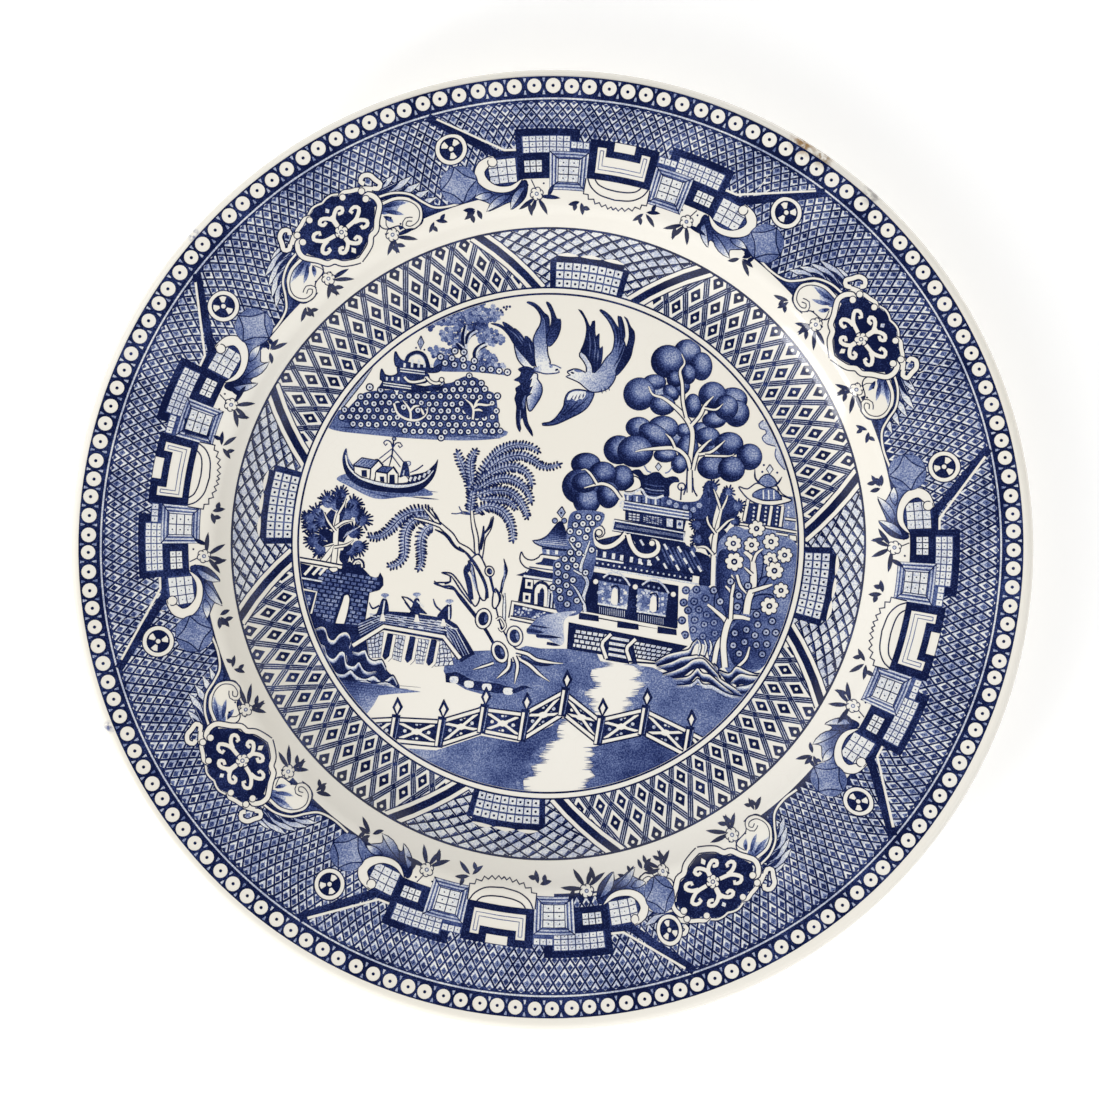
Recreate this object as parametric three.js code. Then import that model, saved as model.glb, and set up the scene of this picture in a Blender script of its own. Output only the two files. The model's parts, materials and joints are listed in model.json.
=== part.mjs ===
// A round earthenware dinner plate with a blue transfer print under a clear glaze.
// Millimetres, +Z up. The origin is on the plate's axis, on the surface that it stands on.
import * as THREE from 'three';

// Driving dimensions. The clay body is drawn first; print and glaze are coats laid on it.
const PLATE_RADIUS = 127;        // over the glaze: a ten inch plate
const SEGMENTS = 48;             // round the axis; a multiple of 4 keeps the full width on X and Y
const WALL = 4.3;                // clay at the well and the shoulder
const EDGE_THICKNESS = 3.2;      // clay at the rim's edge
const FOOT_HEIGHT = 2.0;         // from the table to the clay inside the foot ring
const FLOOR_RADIUS = 68;         // where the flat well turns up into the cavetto
const CAVETTO_RADIUS = 30;       // hollow curve up from the floor
const CAVETTO_ANGLE = 45;        // its steepest slope, degrees
const SHOULDER_RADIUS = 8;       // round curve from the cavetto over to the rim
const RIM_ANGLE = 10;            // slope of the rim, degrees

// The foot ring, from its outer flank, round the flat dry foot, to the base inside it
const FOOT_FLANK = [70.9, 0.6];
const FOOT_INSIDE = [67.8, 0.6];
const FOOT_FLAT_OUTER = 70.3;
const FOOT_FLAT_INNER = 68.4;
const FOOT_POINTS = [
  [71.5, 1.8],
  FOOT_FLANK,
  [FOOT_FLAT_OUTER, 0],
  [FOOT_FLAT_INNER, 0],
  FOOT_INSIDE,
  [67.2, 1.9],
  [66.3, FOOT_HEIGHT],
  [0, FOOT_HEIGHT],
];

// Coats, as distances out from the clay
const PRINT_START = 0.05;
const PRINT_END = 0.15;
const GLAZE_START = 0.2;
const GLAZE_END = 0.5;

// Zones of the print, as plan radii on the clay
const SCENE_RADIUS = 66;
const BORDER_END_ANGLE = 33;     // slope of the cavetto where the well border stops
const RIM_PRINT_INNER = 95;
const RIM_PRINT_MIDDLE = 110;

const FLOOR_Z = FOOT_HEIGHT + WALL;
// The edge is half a circle across the thickness of the rim.
const EDGE_RADIUS = EDGE_THICKNESS / 2;
const EDGE_CENTRE_R = PLATE_RADIUS - GLAZE_END - EDGE_RADIUS;
const radians = (degrees) => degrees * Math.PI / 180;

// One station of the face: plan radius, height and slope in degrees.
const station = (r, z, slope) => ({ r, z, slope });

// The face's stations from the axis to where the rounded edge begins.
function faceStations() {
  const stations = [
    station(0, FLOOR_Z, 0),
    station(SCENE_RADIUS, FLOOR_Z, 0),
    station(FLOOR_RADIUS, FLOOR_Z, 0),
  ];
  const cavettoSlopes = [0.25, 0.5, 0.75, 1].map((part) => part * BORDER_END_ANGLE);
  cavettoSlopes.push((BORDER_END_ANGLE + CAVETTO_ANGLE) / 2, CAVETTO_ANGLE);
  for (const slope of cavettoSlopes) {
    const turn = radians(slope);
    const r = FLOOR_RADIUS + CAVETTO_RADIUS * Math.sin(turn);
    const z = FLOOR_Z + CAVETTO_RADIUS * (1 - Math.cos(turn));
    stations.push(station(r, z, slope));
  }
  const top = stations[stations.length - 1];
  const shoulderSteps = 4;
  for (let step = 1; step <= shoulderSteps; step += 1) {
    const slope = CAVETTO_ANGLE + (RIM_ANGLE - CAVETTO_ANGLE) * step / shoulderSteps;
    const r = top.r + SHOULDER_RADIUS * (Math.sin(radians(CAVETTO_ANGLE)) - Math.sin(radians(slope)));
    const z = top.z + SHOULDER_RADIUS * (Math.cos(radians(slope)) - Math.cos(radians(CAVETTO_ANGLE)));
    stations.push(station(r, z, slope));
  }
  const shoulder = stations[stations.length - 1];
  const edgeStart = EDGE_CENTRE_R - EDGE_RADIUS * Math.sin(radians(RIM_ANGLE));
  for (const r of [RIM_PRINT_INNER, RIM_PRINT_MIDDLE, edgeStart]) {
    const rise = (r - shoulder.r) * Math.tan(radians(RIM_ANGLE));
    stations.push(station(r, shoulder.z + rise, RIM_ANGLE));
  }
  return stations;
}

// The clay's outline from the middle of the face, over the edge, down the back and the foot ring,
// to the middle of the base.
function clayOutline(face) {
  const outline = face.map(({ r, z }) => new THREE.Vector2(r, z));
  const last = face[face.length - 1];
  const centreZ = last.z - EDGE_RADIUS * Math.cos(radians(RIM_ANGLE));
  const edgeSteps = 6;
  for (let step = 1; step <= edgeSteps; step += 1) {
    const turn = radians(90 + RIM_ANGLE - 180 * step / edgeSteps);
    outline.push(new THREE.Vector2(
      EDGE_CENTRE_R + EDGE_RADIUS * Math.cos(turn),
      centreZ + EDGE_RADIUS * Math.sin(turn),
    ));
  }
  const backStations = face.filter(({ r }) => r > FLOOR_RADIUS && r < last.r).reverse();
  for (const { r, z, slope } of backStations) {
    const outward = THREE.MathUtils.clamp((r - RIM_PRINT_INNER) / (last.r - RIM_PRINT_INNER), 0, 1);
    const thickness = THREE.MathUtils.lerp(WALL, EDGE_THICKNESS, outward);
    outline.push(new THREE.Vector2(
      r + thickness * Math.sin(radians(slope)),
      z - thickness * Math.cos(radians(slope)),
    ));
  }
  outline.push(...FOOT_POINTS.map(([r, z]) => new THREE.Vector2(r, z)));
  return outline;
}

// The outline moved out from the clay by one distance everywhere, its corners mitred.
function parallel(outline, distance) {
  const normals = outline.slice(1).map((point, index) => {
    const along = point.clone().sub(outline[index]).normalize();
    return new THREE.Vector2(-along.y, along.x);
  });
  return outline.map((point, index) => {
    const before = normals[Math.max(index - 1, 0)];
    const after = normals[Math.min(index, normals.length - 1)];
    const mitre = before.clone().add(after).divideScalar(1 + before.dot(after));
    return point.clone().addScaledVector(mitre, distance);
  });
}

// Profile of a coat that lies between two distances, from one outline index to another. It starts
// and ends on the axis where the coat reaches the axis, and closes on itself where it does not.
function coatProfile(outline, inner, outer, first, last) {
  const under = parallel(outline, inner).slice(first, last + 1);
  const over = parallel(outline, outer).slice(first, last + 1).reverse();
  if (first === 0) {
    return [...under, ...over];
  }
  if (last === outline.length - 1) {
    return [...over, ...under];
  }
  return [...under, ...over, under[0]];
}

// A named solid turned round the plate's axis from a profile of radius and height.
function turned(name, profile, material) {
  const geometry = new THREE.LatheGeometry(profile, SEGMENTS);
  geometry.rotateX(Math.PI / 2);
  const mesh = new THREE.Mesh(geometry, material);
  mesh.name = name;
  return mesh;
}

const biscuit = new THREE.MeshStandardMaterial({ color: 0xe6dcc8, roughness: 0.8, metalness: 0 });
const cobalt = new THREE.MeshStandardMaterial({ color: 0x2a3878, roughness: 0.35, metalness: 0 });
const glaze = new THREE.MeshStandardMaterial({ color: 0xf1ebdc, roughness: 0.12, metalness: 0 });

const face = faceStations();
const outline = clayOutline(face);
const indexAt = (r) => face.findIndex((point) => Math.abs(point.r - r) < 0.001);
const indexOf = ([r, z]) => outline.findIndex((point) => point.x === r && point.y === z);
const borderEnd = face.findIndex((point) => point.slope === BORDER_END_ANGLE);
const rimEnd = face.length - 1;
const axisEnd = outline.length - 1;

const printOn = (first, last) => coatProfile(outline, PRINT_START, PRINT_END, first, last);
const glazeOn = (first, last) => coatProfile(outline, GLAZE_START, GLAZE_END, first, last);

const plate = new THREE.Group();
plate.add(
  turned('biscuit_body', [...outline].reverse(), biscuit),
  turned('centre_scene_print', printOn(0, indexAt(SCENE_RADIUS)), cobalt),
  turned('well_border_print', printOn(indexAt(FLOOR_RADIUS), borderEnd), cobalt),
  turned('rim_border_print', printOn(indexAt(RIM_PRINT_INNER), rimEnd), cobalt),
  turned('glaze_face_and_back', glazeOn(0, indexOf(FOOT_FLANK)), glaze),
  turned('glaze_base', glazeOn(indexOf(FOOT_INSIDE), axisEnd), glaze),
);

export default plate;
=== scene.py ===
# %% [markdown]
# # A blue printed dinner plate
# A ten inch earthenware plate: a cream clay body on a foot ring, a cobalt transfer print of beads,
# net, frets and a garden scene, and one clear glossy glaze over it all. The clay is turned from a
# profile, as a potter's jigger makes it. The print is drawn shape by shape in flat millimetres
# and then laid on the curved face, as the printer lays a tissue. All pieces sit in the frame of
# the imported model, in metres.

# %% Frame and tools
import cmath
import json
import math
import random

import bmesh
import bpy
from mathutils import Matrix, Vector
from mathutils.geometry import delaunay_2d_cdt

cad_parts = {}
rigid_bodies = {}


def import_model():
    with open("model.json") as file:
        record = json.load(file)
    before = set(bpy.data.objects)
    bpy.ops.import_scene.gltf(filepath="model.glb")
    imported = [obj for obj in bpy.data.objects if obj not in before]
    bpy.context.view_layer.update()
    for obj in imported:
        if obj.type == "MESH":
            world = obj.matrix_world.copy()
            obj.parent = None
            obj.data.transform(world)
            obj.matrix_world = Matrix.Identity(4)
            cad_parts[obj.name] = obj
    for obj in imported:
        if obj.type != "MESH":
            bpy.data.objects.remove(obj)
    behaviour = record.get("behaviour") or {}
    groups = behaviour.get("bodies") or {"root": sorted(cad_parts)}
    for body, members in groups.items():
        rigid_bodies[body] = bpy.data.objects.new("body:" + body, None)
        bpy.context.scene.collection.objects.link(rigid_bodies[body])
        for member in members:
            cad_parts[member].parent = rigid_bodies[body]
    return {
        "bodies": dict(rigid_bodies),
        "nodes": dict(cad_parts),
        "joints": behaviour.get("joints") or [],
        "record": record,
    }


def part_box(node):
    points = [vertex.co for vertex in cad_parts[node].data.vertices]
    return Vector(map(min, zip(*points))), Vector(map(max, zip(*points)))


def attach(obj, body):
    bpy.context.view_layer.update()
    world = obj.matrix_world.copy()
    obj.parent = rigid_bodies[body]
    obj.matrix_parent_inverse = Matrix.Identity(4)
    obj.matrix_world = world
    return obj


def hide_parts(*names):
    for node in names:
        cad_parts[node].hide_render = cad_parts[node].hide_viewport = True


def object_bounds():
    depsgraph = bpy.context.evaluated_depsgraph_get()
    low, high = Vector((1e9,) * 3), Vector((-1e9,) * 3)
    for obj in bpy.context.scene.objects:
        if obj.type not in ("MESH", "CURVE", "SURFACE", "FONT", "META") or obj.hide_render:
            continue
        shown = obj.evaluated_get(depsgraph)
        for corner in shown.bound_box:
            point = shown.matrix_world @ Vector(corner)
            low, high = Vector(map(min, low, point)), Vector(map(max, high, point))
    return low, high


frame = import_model()
cad_box = [list(corner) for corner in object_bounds()]
MM = 0.001
DEGREE = math.pi / 180
print("frame box", cad_box)


# %% [markdown]
# ## The profile
# A jiggered plate is one profile turned round an axis: a flat well, a hollow curve up (the
# cavetto), a small round shoulder, and a straight rim that ends in a half-round edge. The profile
# could be a long list of points, but arcs say it better: each offset of the profile, for clay or
# glaze, only changes the arcs' radii. Heights come from the frame, so the pot fits the model.

# %% Profile of the face
GLAZE = 0.5                # from the bare clay to the surface of the glaze, as packed
FLOOR_RADIUS = 68.0
CAVETTO_RADIUS = 30.0
CAVETTO_SLOPE = 45 * DEGREE
SHOULDER_RADIUS = 8.0
RIM_SLOPE = 10 * DEGREE
WALL = 4.3
EDGE_THICKNESS = 3.2
BASE_RISE = 2.0            # from the table up to the base inside the foot ring
THINNING = 95.0            # outside this radius the wall thins towards the edge
FOOT_MIDDLE = 69.35        # radius of the foot ring's crest
plate_radius = cad_box[1][0] / MM
floor_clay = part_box("biscuit_body")[0][2] / MM + BASE_RISE + WALL


def face_stations(coat, fine=1.0):
    """Points (radius, height, slope) over the face, on a coat this far out from the clay."""
    floor = floor_clay + coat
    stations = [(FLOOR_RADIUS * k / 6, floor, 0.0) for k in range(7)]
    hollow = CAVETTO_RADIUS - coat
    steps = round(20 * fine)
    for k in range(1, steps + 1):
        slope = CAVETTO_SLOPE * k / steps
        stations.append((FLOOR_RADIUS + hollow * math.sin(slope), floor + hollow * (1 - math.cos(slope)),
            slope))
    shoulder = SHOULDER_RADIUS + coat
    low_r, low_z, _ = stations[-1]
    steps = round(12 * fine)
    for k in range(1, steps + 1):
        slope = CAVETTO_SLOPE + (RIM_SLOPE - CAVETTO_SLOPE) * k / steps
        stations.append((low_r + shoulder * (math.sin(CAVETTO_SLOPE) - math.sin(slope)),
            low_z + shoulder * (math.cos(slope) - math.cos(CAVETTO_SLOPE)), slope))
    low_r, low_z, _ = stations[-1]
    edge = plate_radius - GLAZE - EDGE_THICKNESS / 2 - (EDGE_THICKNESS / 2 + coat) * math.sin(RIM_SLOPE)
    for k in range(1, 9):
        r = low_r + (edge - low_r) * k / 8
        stations.append((r, low_z + (r - low_r) * math.tan(RIM_SLOPE), RIM_SLOPE))
    return stations


SURFACE = face_stations(GLAZE, fine=3)


def surface_at(r):
    """Height and slope of the glazed face at a radius, in millimetres and radians."""
    low, high = 0, len(SURFACE) - 1
    while high - low > 1:
        middle = (low + high) // 2
        low, high = (middle, high) if SURFACE[middle][0] <= r else (low, middle)
    (ra, za, sa), (rb, zb, sb) = SURFACE[low], SURFACE[high]
    t = (r - ra) / (rb - ra)
    return za + (zb - za) * t, sa + (sb - sa) * min(1, max(0, t))


print("floor of the well", round(surface_at(0)[0], 2), "mm, rim", round(SURFACE[-1][1], 2), "mm")


# %% [markdown]
# ## Clay body and glaze
# The clay body is closed and solid, and only its dry foot shows. The glaze is a thin coat over the
# face, the edge and the back, which stops on the flank of the foot ring, and a second patch inside
# the ring. Each is its own outline, turned a full circle with spin, which also closes the seam.

# %% Turned pieces
TURN_STEPS = 256           # facets round the plate
GLAZE_BED = 0.04           # the underside of the glaze, just clear of the clay


def pot_outline(coat):
    """The whole outline from the middle of the face to the middle of the base."""
    face = face_stations(coat)
    outline = [(r, z) for r, z, _ in face]
    edge_r, edge_z, _ = face[-1]
    radius = EDGE_THICKNESS / 2 + coat
    centre = (edge_r + radius * math.sin(RIM_SLOPE), edge_z - radius * math.cos(RIM_SLOPE))
    for k in range(1, 15):
        turn = (90 + 10 - 180 * k / 15) * DEGREE
        outline.append((centre[0] + radius * math.cos(turn), centre[1] + radius * math.sin(turn)))
    clay = [s for s in face_stations(0) if s[0] > FLOOR_RADIUS + 3]
    outer_r = clay[-1][0]
    for r, z, slope in reversed(clay):
        thin = min(1, max(0, (r - THINNING) / (outer_r - THINNING)))
        wall = WALL + (EDGE_THICKNESS - WALL) * thin + coat
        outline.append((r + wall * math.sin(slope), z - wall * math.cos(slope)))
    foot = [(71.9, 2.15), (71.35, 1.6), (70.95, 0.75), (70.75, 0.35), (70.3, 0.05), (69.35, 0.0),
        (68.4, 0.05), (68.0, 0.35), (67.75, 0.75), (67.3, 1.6), (66.7, 1.95), (65.8, 2.0), (33, 2.0),
        (0, 2.0)]
    for r, z in foot:
        side = 0 if abs(r - FOOT_MIDDLE) < 1.2 else math.copysign(coat, r - FOOT_MIDDLE)
        low = coat * (0.35 if z > 0.9 else 0) if r > 60 else coat
        outline.append((r + (side if r > 60 else 0), z - low * (1 if z > 0.9 else 0)))
    return outline


def turned(name, profile):
    """A piece turned round the plate's axis from a closed profile in millimetres."""
    mesh = bmesh.new()
    verts = [mesh.verts.new((r * MM, 0, z * MM)) for r, z in profile]
    edges = [mesh.edges.new(pair) for pair in zip(verts, verts[1:])]
    if profile[0][0] > 1e-6:
        edges.append(mesh.edges.new((verts[-1], verts[0])))
    bmesh.ops.spin(mesh, geom=verts + edges, cent=(0, 0, 0), axis=(0, 0, 1), angle=2 * math.pi,
        steps=TURN_STEPS, use_merge=True)
    bmesh.ops.remove_doubles(mesh, verts=mesh.verts, dist=1e-6)
    bmesh.ops.recalc_face_normals(mesh, faces=mesh.faces)
    for face in mesh.faces:
        face.smooth = True
    data = bpy.data.meshes.new(name)
    mesh.to_mesh(data)
    mesh.free()
    piece = bpy.data.objects.new(name, data)
    bpy.context.scene.collection.objects.link(piece)
    print(name, len(data.polygons), "faces")
    return piece


clay_outline = pot_outline(0)
outer = pot_outline(GLAZE)
inner = pot_outline(GLAZE_BED)
foot_start = next(i for i, (r, z) in enumerate(clay_outline) if z < 0.8 and r < 72 and i > 50)
foot_end = next(i for i, (r, z) in enumerate(clay_outline) if z > 0.7 and r < 68 and i > foot_start)
clay_body = turned("clay_body", clay_outline)
glaze_coat = turned("glaze_coat", outer[:foot_start + 1] + inner[:foot_start + 1][::-1])
glaze_base = turned("glaze_under_base", outer[foot_end:] + inner[foot_end:][::-1])
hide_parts("biscuit_body")
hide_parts("glaze_face_and_back")
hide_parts("glaze_base")
for piece, slot in ((clay_body, "biscuit"), (glaze_coat, "glaze"), (glaze_base, "glaze")):
    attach(piece, "root")


# %% [markdown]
# ## The engraver's pen
# A transfer print starts as a copper plate: an engraver cuts lines, dots and washes into it, one
# motif over another. The pen below works the same way, in millimetres on the plate seen from
# above. Every shape is a flat outline with a tone, from 0 for bare glaze to 1 for full ink, and a
# shape laid later covers what is under it. Points are complex numbers, which turn and scale in
# one multiplication. A frame says how a motif's own coordinates land on the plate, so the same
# motif can be drawn straight, mirrored or bent round the rim.

# %% The pen


def plain(u, v):
    """The scene's own frame: millimetres to the right and up from the middle of the plate."""
    return complex(u, v)


def round_rim(centre, side=1):
    """A frame bent round the plate: u in degrees from a centre angle, v in millimetres of radius."""
    return lambda u, v: cmath.rect(v, (centre + side * u) * DEGREE)


def curve(points, closed=False, step=0.7):
    """A smooth curve through the points (Catmull-Rom), cut about every step millimetres."""
    count = len(points)
    spans = count if closed else count - 1
    path = []
    for i in range(spans):
        b, c = points[i], points[(i + 1) % count]
        a = points[i - 1] if closed or i else 2 * b - c
        d = points[(i + 2) % count] if closed or i + 2 < count else 2 * c - b
        cuts = min(8, max(1, round(abs(c - b) / step)))
        for k in range(cuts):
            t = k / cuts
            path.append(0.5 * (2 * b + (c - a) * t + (2 * a - 5 * b + 4 * c - d) * t ** 2
                               + (3 * b - a - 3 * c + d) * t ** 3))
    return path if closed else path + [points[-1]]


def turned_area(points):
    """Twice the area inside the outline, positive when it runs counter-clockwise."""
    return sum((a.conjugate() * b).imag for a, b in zip(points, points[1:] + points[:1]))


class Pen:
    """Collects flat shapes in the order they are laid."""

    def __init__(self):
        self.shapes = []
        self.parts = []
        self.frame = plain

    def part(self, name):
        """What is laid from here on belongs to this part of the print."""
        self.parts.append((len(self.shapes), name))

    def lay(self, outline, tone):
        """Lay one flat shape; every outline is kept counter-clockwise, and empty ones are left out."""
        area = turned_area(outline)
        if abs(area) > 2e-4:
            self.shapes.append((outline if area > 0 else outline[::-1], tone))

    def on(self, points):
        """Where points of the motif land on the plate."""
        return [self.frame(*point) for point in points]

    def fill(self, points, tone=1.0, line=0.0, smooth=True):
        """A filled outline, with an inked edge if line is not 0."""
        spots = self.on(points)
        outline = curve(spots, closed=True) if smooth else spots
        self.lay(outline, tone)
        if line:
            self.ribbon(outline + outline[:1], line)

    def ribbon(self, path, width, tone=1.0, start=1.0, end=1.0):
        """A band along a path, its ends narrowed to these shares of the width."""
        last = len(path) - 1
        sides = []
        for i, spot in enumerate(path):
            ahead = path[min(i + 1, last)] - spot
            behind = spot - path[max(i - 1, 0)]
            way = (ahead / (abs(ahead) or 1)) + (behind / (abs(behind) or 1))
            share = min(1, start + (1 - start) * i / (0.4 * last),
                end + (1 - end) * (last - i) / (0.4 * last))
            half = 0.5j * width * max(share, 0.08) * way / (abs(way) or 1)
            sides.append((spot + half, spot - half))
        for (a, b), (d, c) in zip(sides, sides[1:]):
            one, two = turned_area([a, b, c]), turned_area([a, c, d])
            if one * two > 0:
                self.lay([a, b, c, d], tone)
            else:
                self.lay([a, b, c], tone)
                self.lay([a, c, d], tone)

    def line(self, points, width=0.32, tone=1.0, start=1.0, end=1.0, smooth=True):
        """An inked line through the points."""
        spots = self.on(points)
        self.ribbon(curve(spots) if smooth else spots, width, tone, start, end)

    def cut(self, points, tone=1.0, line=0.0):
        """A filled outline with straight sides."""
        self.fill(points, tone, line, smooth=False)

    def rule(self, points, width=0.32, tone=1.0, start=1.0, end=1.0):
        """An inked line with straight stretches."""
        self.line(points, width, tone, start, end, smooth=False)

    def dot(self, point, radius, tone=1.0, sides=10):
        """A round spot."""
        spot = self.frame(*point)
        self.lay([spot + cmath.rect(radius, 2 * math.pi * k / sides) for k in range(sides)], tone)

    def ball(self, point, radius, line=0.28, tone=0.0, edge=1.0):
        """A round spot with an inked edge."""
        self.dot(point, radius + line, edge, 14)
        self.dot(point, radius, tone, 14)

    def band(self, points, width, line=0.28, tone=0.0, start=1.0, end=1.0):
        """A pale band between two inked edges."""
        self.line(points, width + 2 * line, 1.0, start, end)
        self.line(points, width, tone, start, end)

    def leaf(self, root, tip, width, tone=1.0, bend=0.0, line=0.0, edge=1.0):
        """A pointed leaf from root to tip, bent to one side."""
        a, b = self.frame(*root), self.frame(*tip)
        side = 1j * (b - a)
        side /= abs(side) or 1
        ridge = [a + (b - a) * t + side * bend * 4 * t * (1 - t) for t in (0, .2, .4, .6, .8, 1)]
        swell = (0.12, 0.7, 1.0, 0.98, 0.66, 0.0)
        left = [p + side * width / 2 * s for p, s in zip(ridge, swell)]
        right = [p - side * width / 2 * s for p, s in zip(ridge, swell)]
        outline = left + right[-2:0:-1]
        self.lay(outline, tone)
        if line:
            self.ribbon(outline + outline[:1], line, edge)

    def fade(self, near, far, near_tone, far_tone):
        """A tone that changes evenly from one point to another."""
        a, b = self.frame(*near), self.frame(*far)
        reach = b - a

        def tone(spot):
            share = ((spot - a) * reach.conjugate()).real / abs(reach) ** 2
            return near_tone + (far_tone - near_tone) * min(1, max(0, share))
        return tone


def moved(shapes, place):
    """The same shapes where the damp transfer ends up on the plate; an even change of tone goes along."""
    laid_shapes = []
    for outline, tone in shapes:
        spots = [place(spot) for spot in outline]
        if callable(tone):
            shift = spots[0] - outline[0]
            tone = lambda spot, tone=tone, shift=shift: tone(spot - shift)
        laid_shapes.append((spots, tone))
    return laid_shapes


# %% [markdown]
# ## The rim border
# The rim carries a strip that repeats four times: beads and a thin line at the edge, a net of
# small lozenges under them, a dark medallion with a scrolled cross, and a group of frets and
# dotted panels over a fan. The strip is printed flat on tissue and bent round the rim, so its
# motifs are drawn in degrees and radius.

# %% Beads, line and net
BEADS = 156
BEAD_RADIUS = 122.25       # from the middle of the plate to the middle of a bead
NET_CELLS = 264
NET_ROWS = 13
NET_PITCH = 2.05           # from row to row
NET_TOP = 117.7            # radius of the outermost row of lozenges
BAND_CUT = 1.5             # degrees from cut to cut in a band round the plate
MEDALLIONS = (33.5, 123.5, 214.7, 295.8)
FRETS = (79.4, 168.45, 262.0, 346.6)


def ring_band(pen, inner, outer, tone, first=0.0, last=360.0):
    """A band round the plate, laid in short pieces."""
    count = max(1, round((last - first) / BAND_CUT))
    for k in range(count):
        a, b = (first + (last - first) * (k + s) / count for s in (0, 1))
        corners = ((inner, a), (outer, a), (outer, b), (inner, b))
        pen.lay([cmath.rect(radius, angle * DEGREE) for radius, angle in corners], tone)


def draw_beads(pen, rng):
    """Pale beads on a dark band, each with a dot, and small pale wedges between them."""
    pen.frame = plain
    ring_band(pen, 119.15, 124.75, 0.97)
    pitch = 360 / BEADS
    for k in range(BEADS):
        angle = k * pitch + rng.uniform(-0.1, 0.1)
        middle = BEAD_RADIUS + rng.uniform(-0.12, 0.12)
        pen.frame = round_rim(angle)
        pen.dot((0, middle), rng.uniform(1.86, 1.98), 0.0, 18)
        pen.dot((0.02, middle + rng.uniform(-0.1, 0.1)), 0.44, 1.0, 8)
        for low, high, tip in ((123.6, 124.35, 123.2), (120.9, 120.1, 121.35)):
            pen.cut([(pitch / 2 - 0.17, high), (pitch / 2 + 0.17, high), (pitch / 2 + 0.1, low),
                (pitch / 2, tip), (pitch / 2 - 0.1, low)], rng.uniform(0.2, 0.45))
    pen.frame = plain
    ring_band(pen, 118.75, 119.2, 0.18)


def net_floor(angle):
    """How far in the net reaches, at an angle round the plate."""
    away = min(abs((angle - m + 180) % 360 - 180) for m in MEDALLIONS)
    return 92.5 if 8 < away < 26 else 101.0


def draw_net(pen, rng):
    """Lozenges in a staggered net, each with a pale V and a small tinted lozenge over it."""
    pen.frame = plain
    for k in range(round(360 / BAND_CUT)):
        first = k * BAND_CUT
        ring_band(pen, net_floor(first + BAND_CUT / 2), 118.8, 0.93, first, first + BAND_CUT)
    half = 180 / NET_CELLS
    for row in range(NET_ROWS):
        radius = NET_TOP - row * NET_PITCH
        for cell in range(NET_CELLS):
            angle = (cell + 0.5 * (row % 2)) * 2 * half
            if radius < net_floor(angle) + 1.2:
                continue
            pen.frame = round_rim(angle)
            pale, tint = rng.uniform(0.07, 0.27), rng.uniform(0.55, 0.85)
            wide, small = 0.76 * half, 0.56 * half
            lozenge = [(wide, radius), (0, min(radius + 1.6, 118.4)), (-wide, radius), (0, radius - 1.6)]
            pen.cut(lozenge, pale)
            inner = [(small, radius + 0.32), (0, min(radius + 1.3, 118.2)), (-small, radius + 0.32),
                (0, radius - 0.6)]
            pen.cut(inner, tint)
            pen.dot((0, radius + 0.3), 0.2, 0.95, 5)


# %% [markdown]
# ### The medallion
# A dark pointed shape with a pale frame, a scrolled cross inside it and acanthus leaves on both
# sides. Only one half is drawn; the frame round the rim can run either way, which mirrors it.

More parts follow.
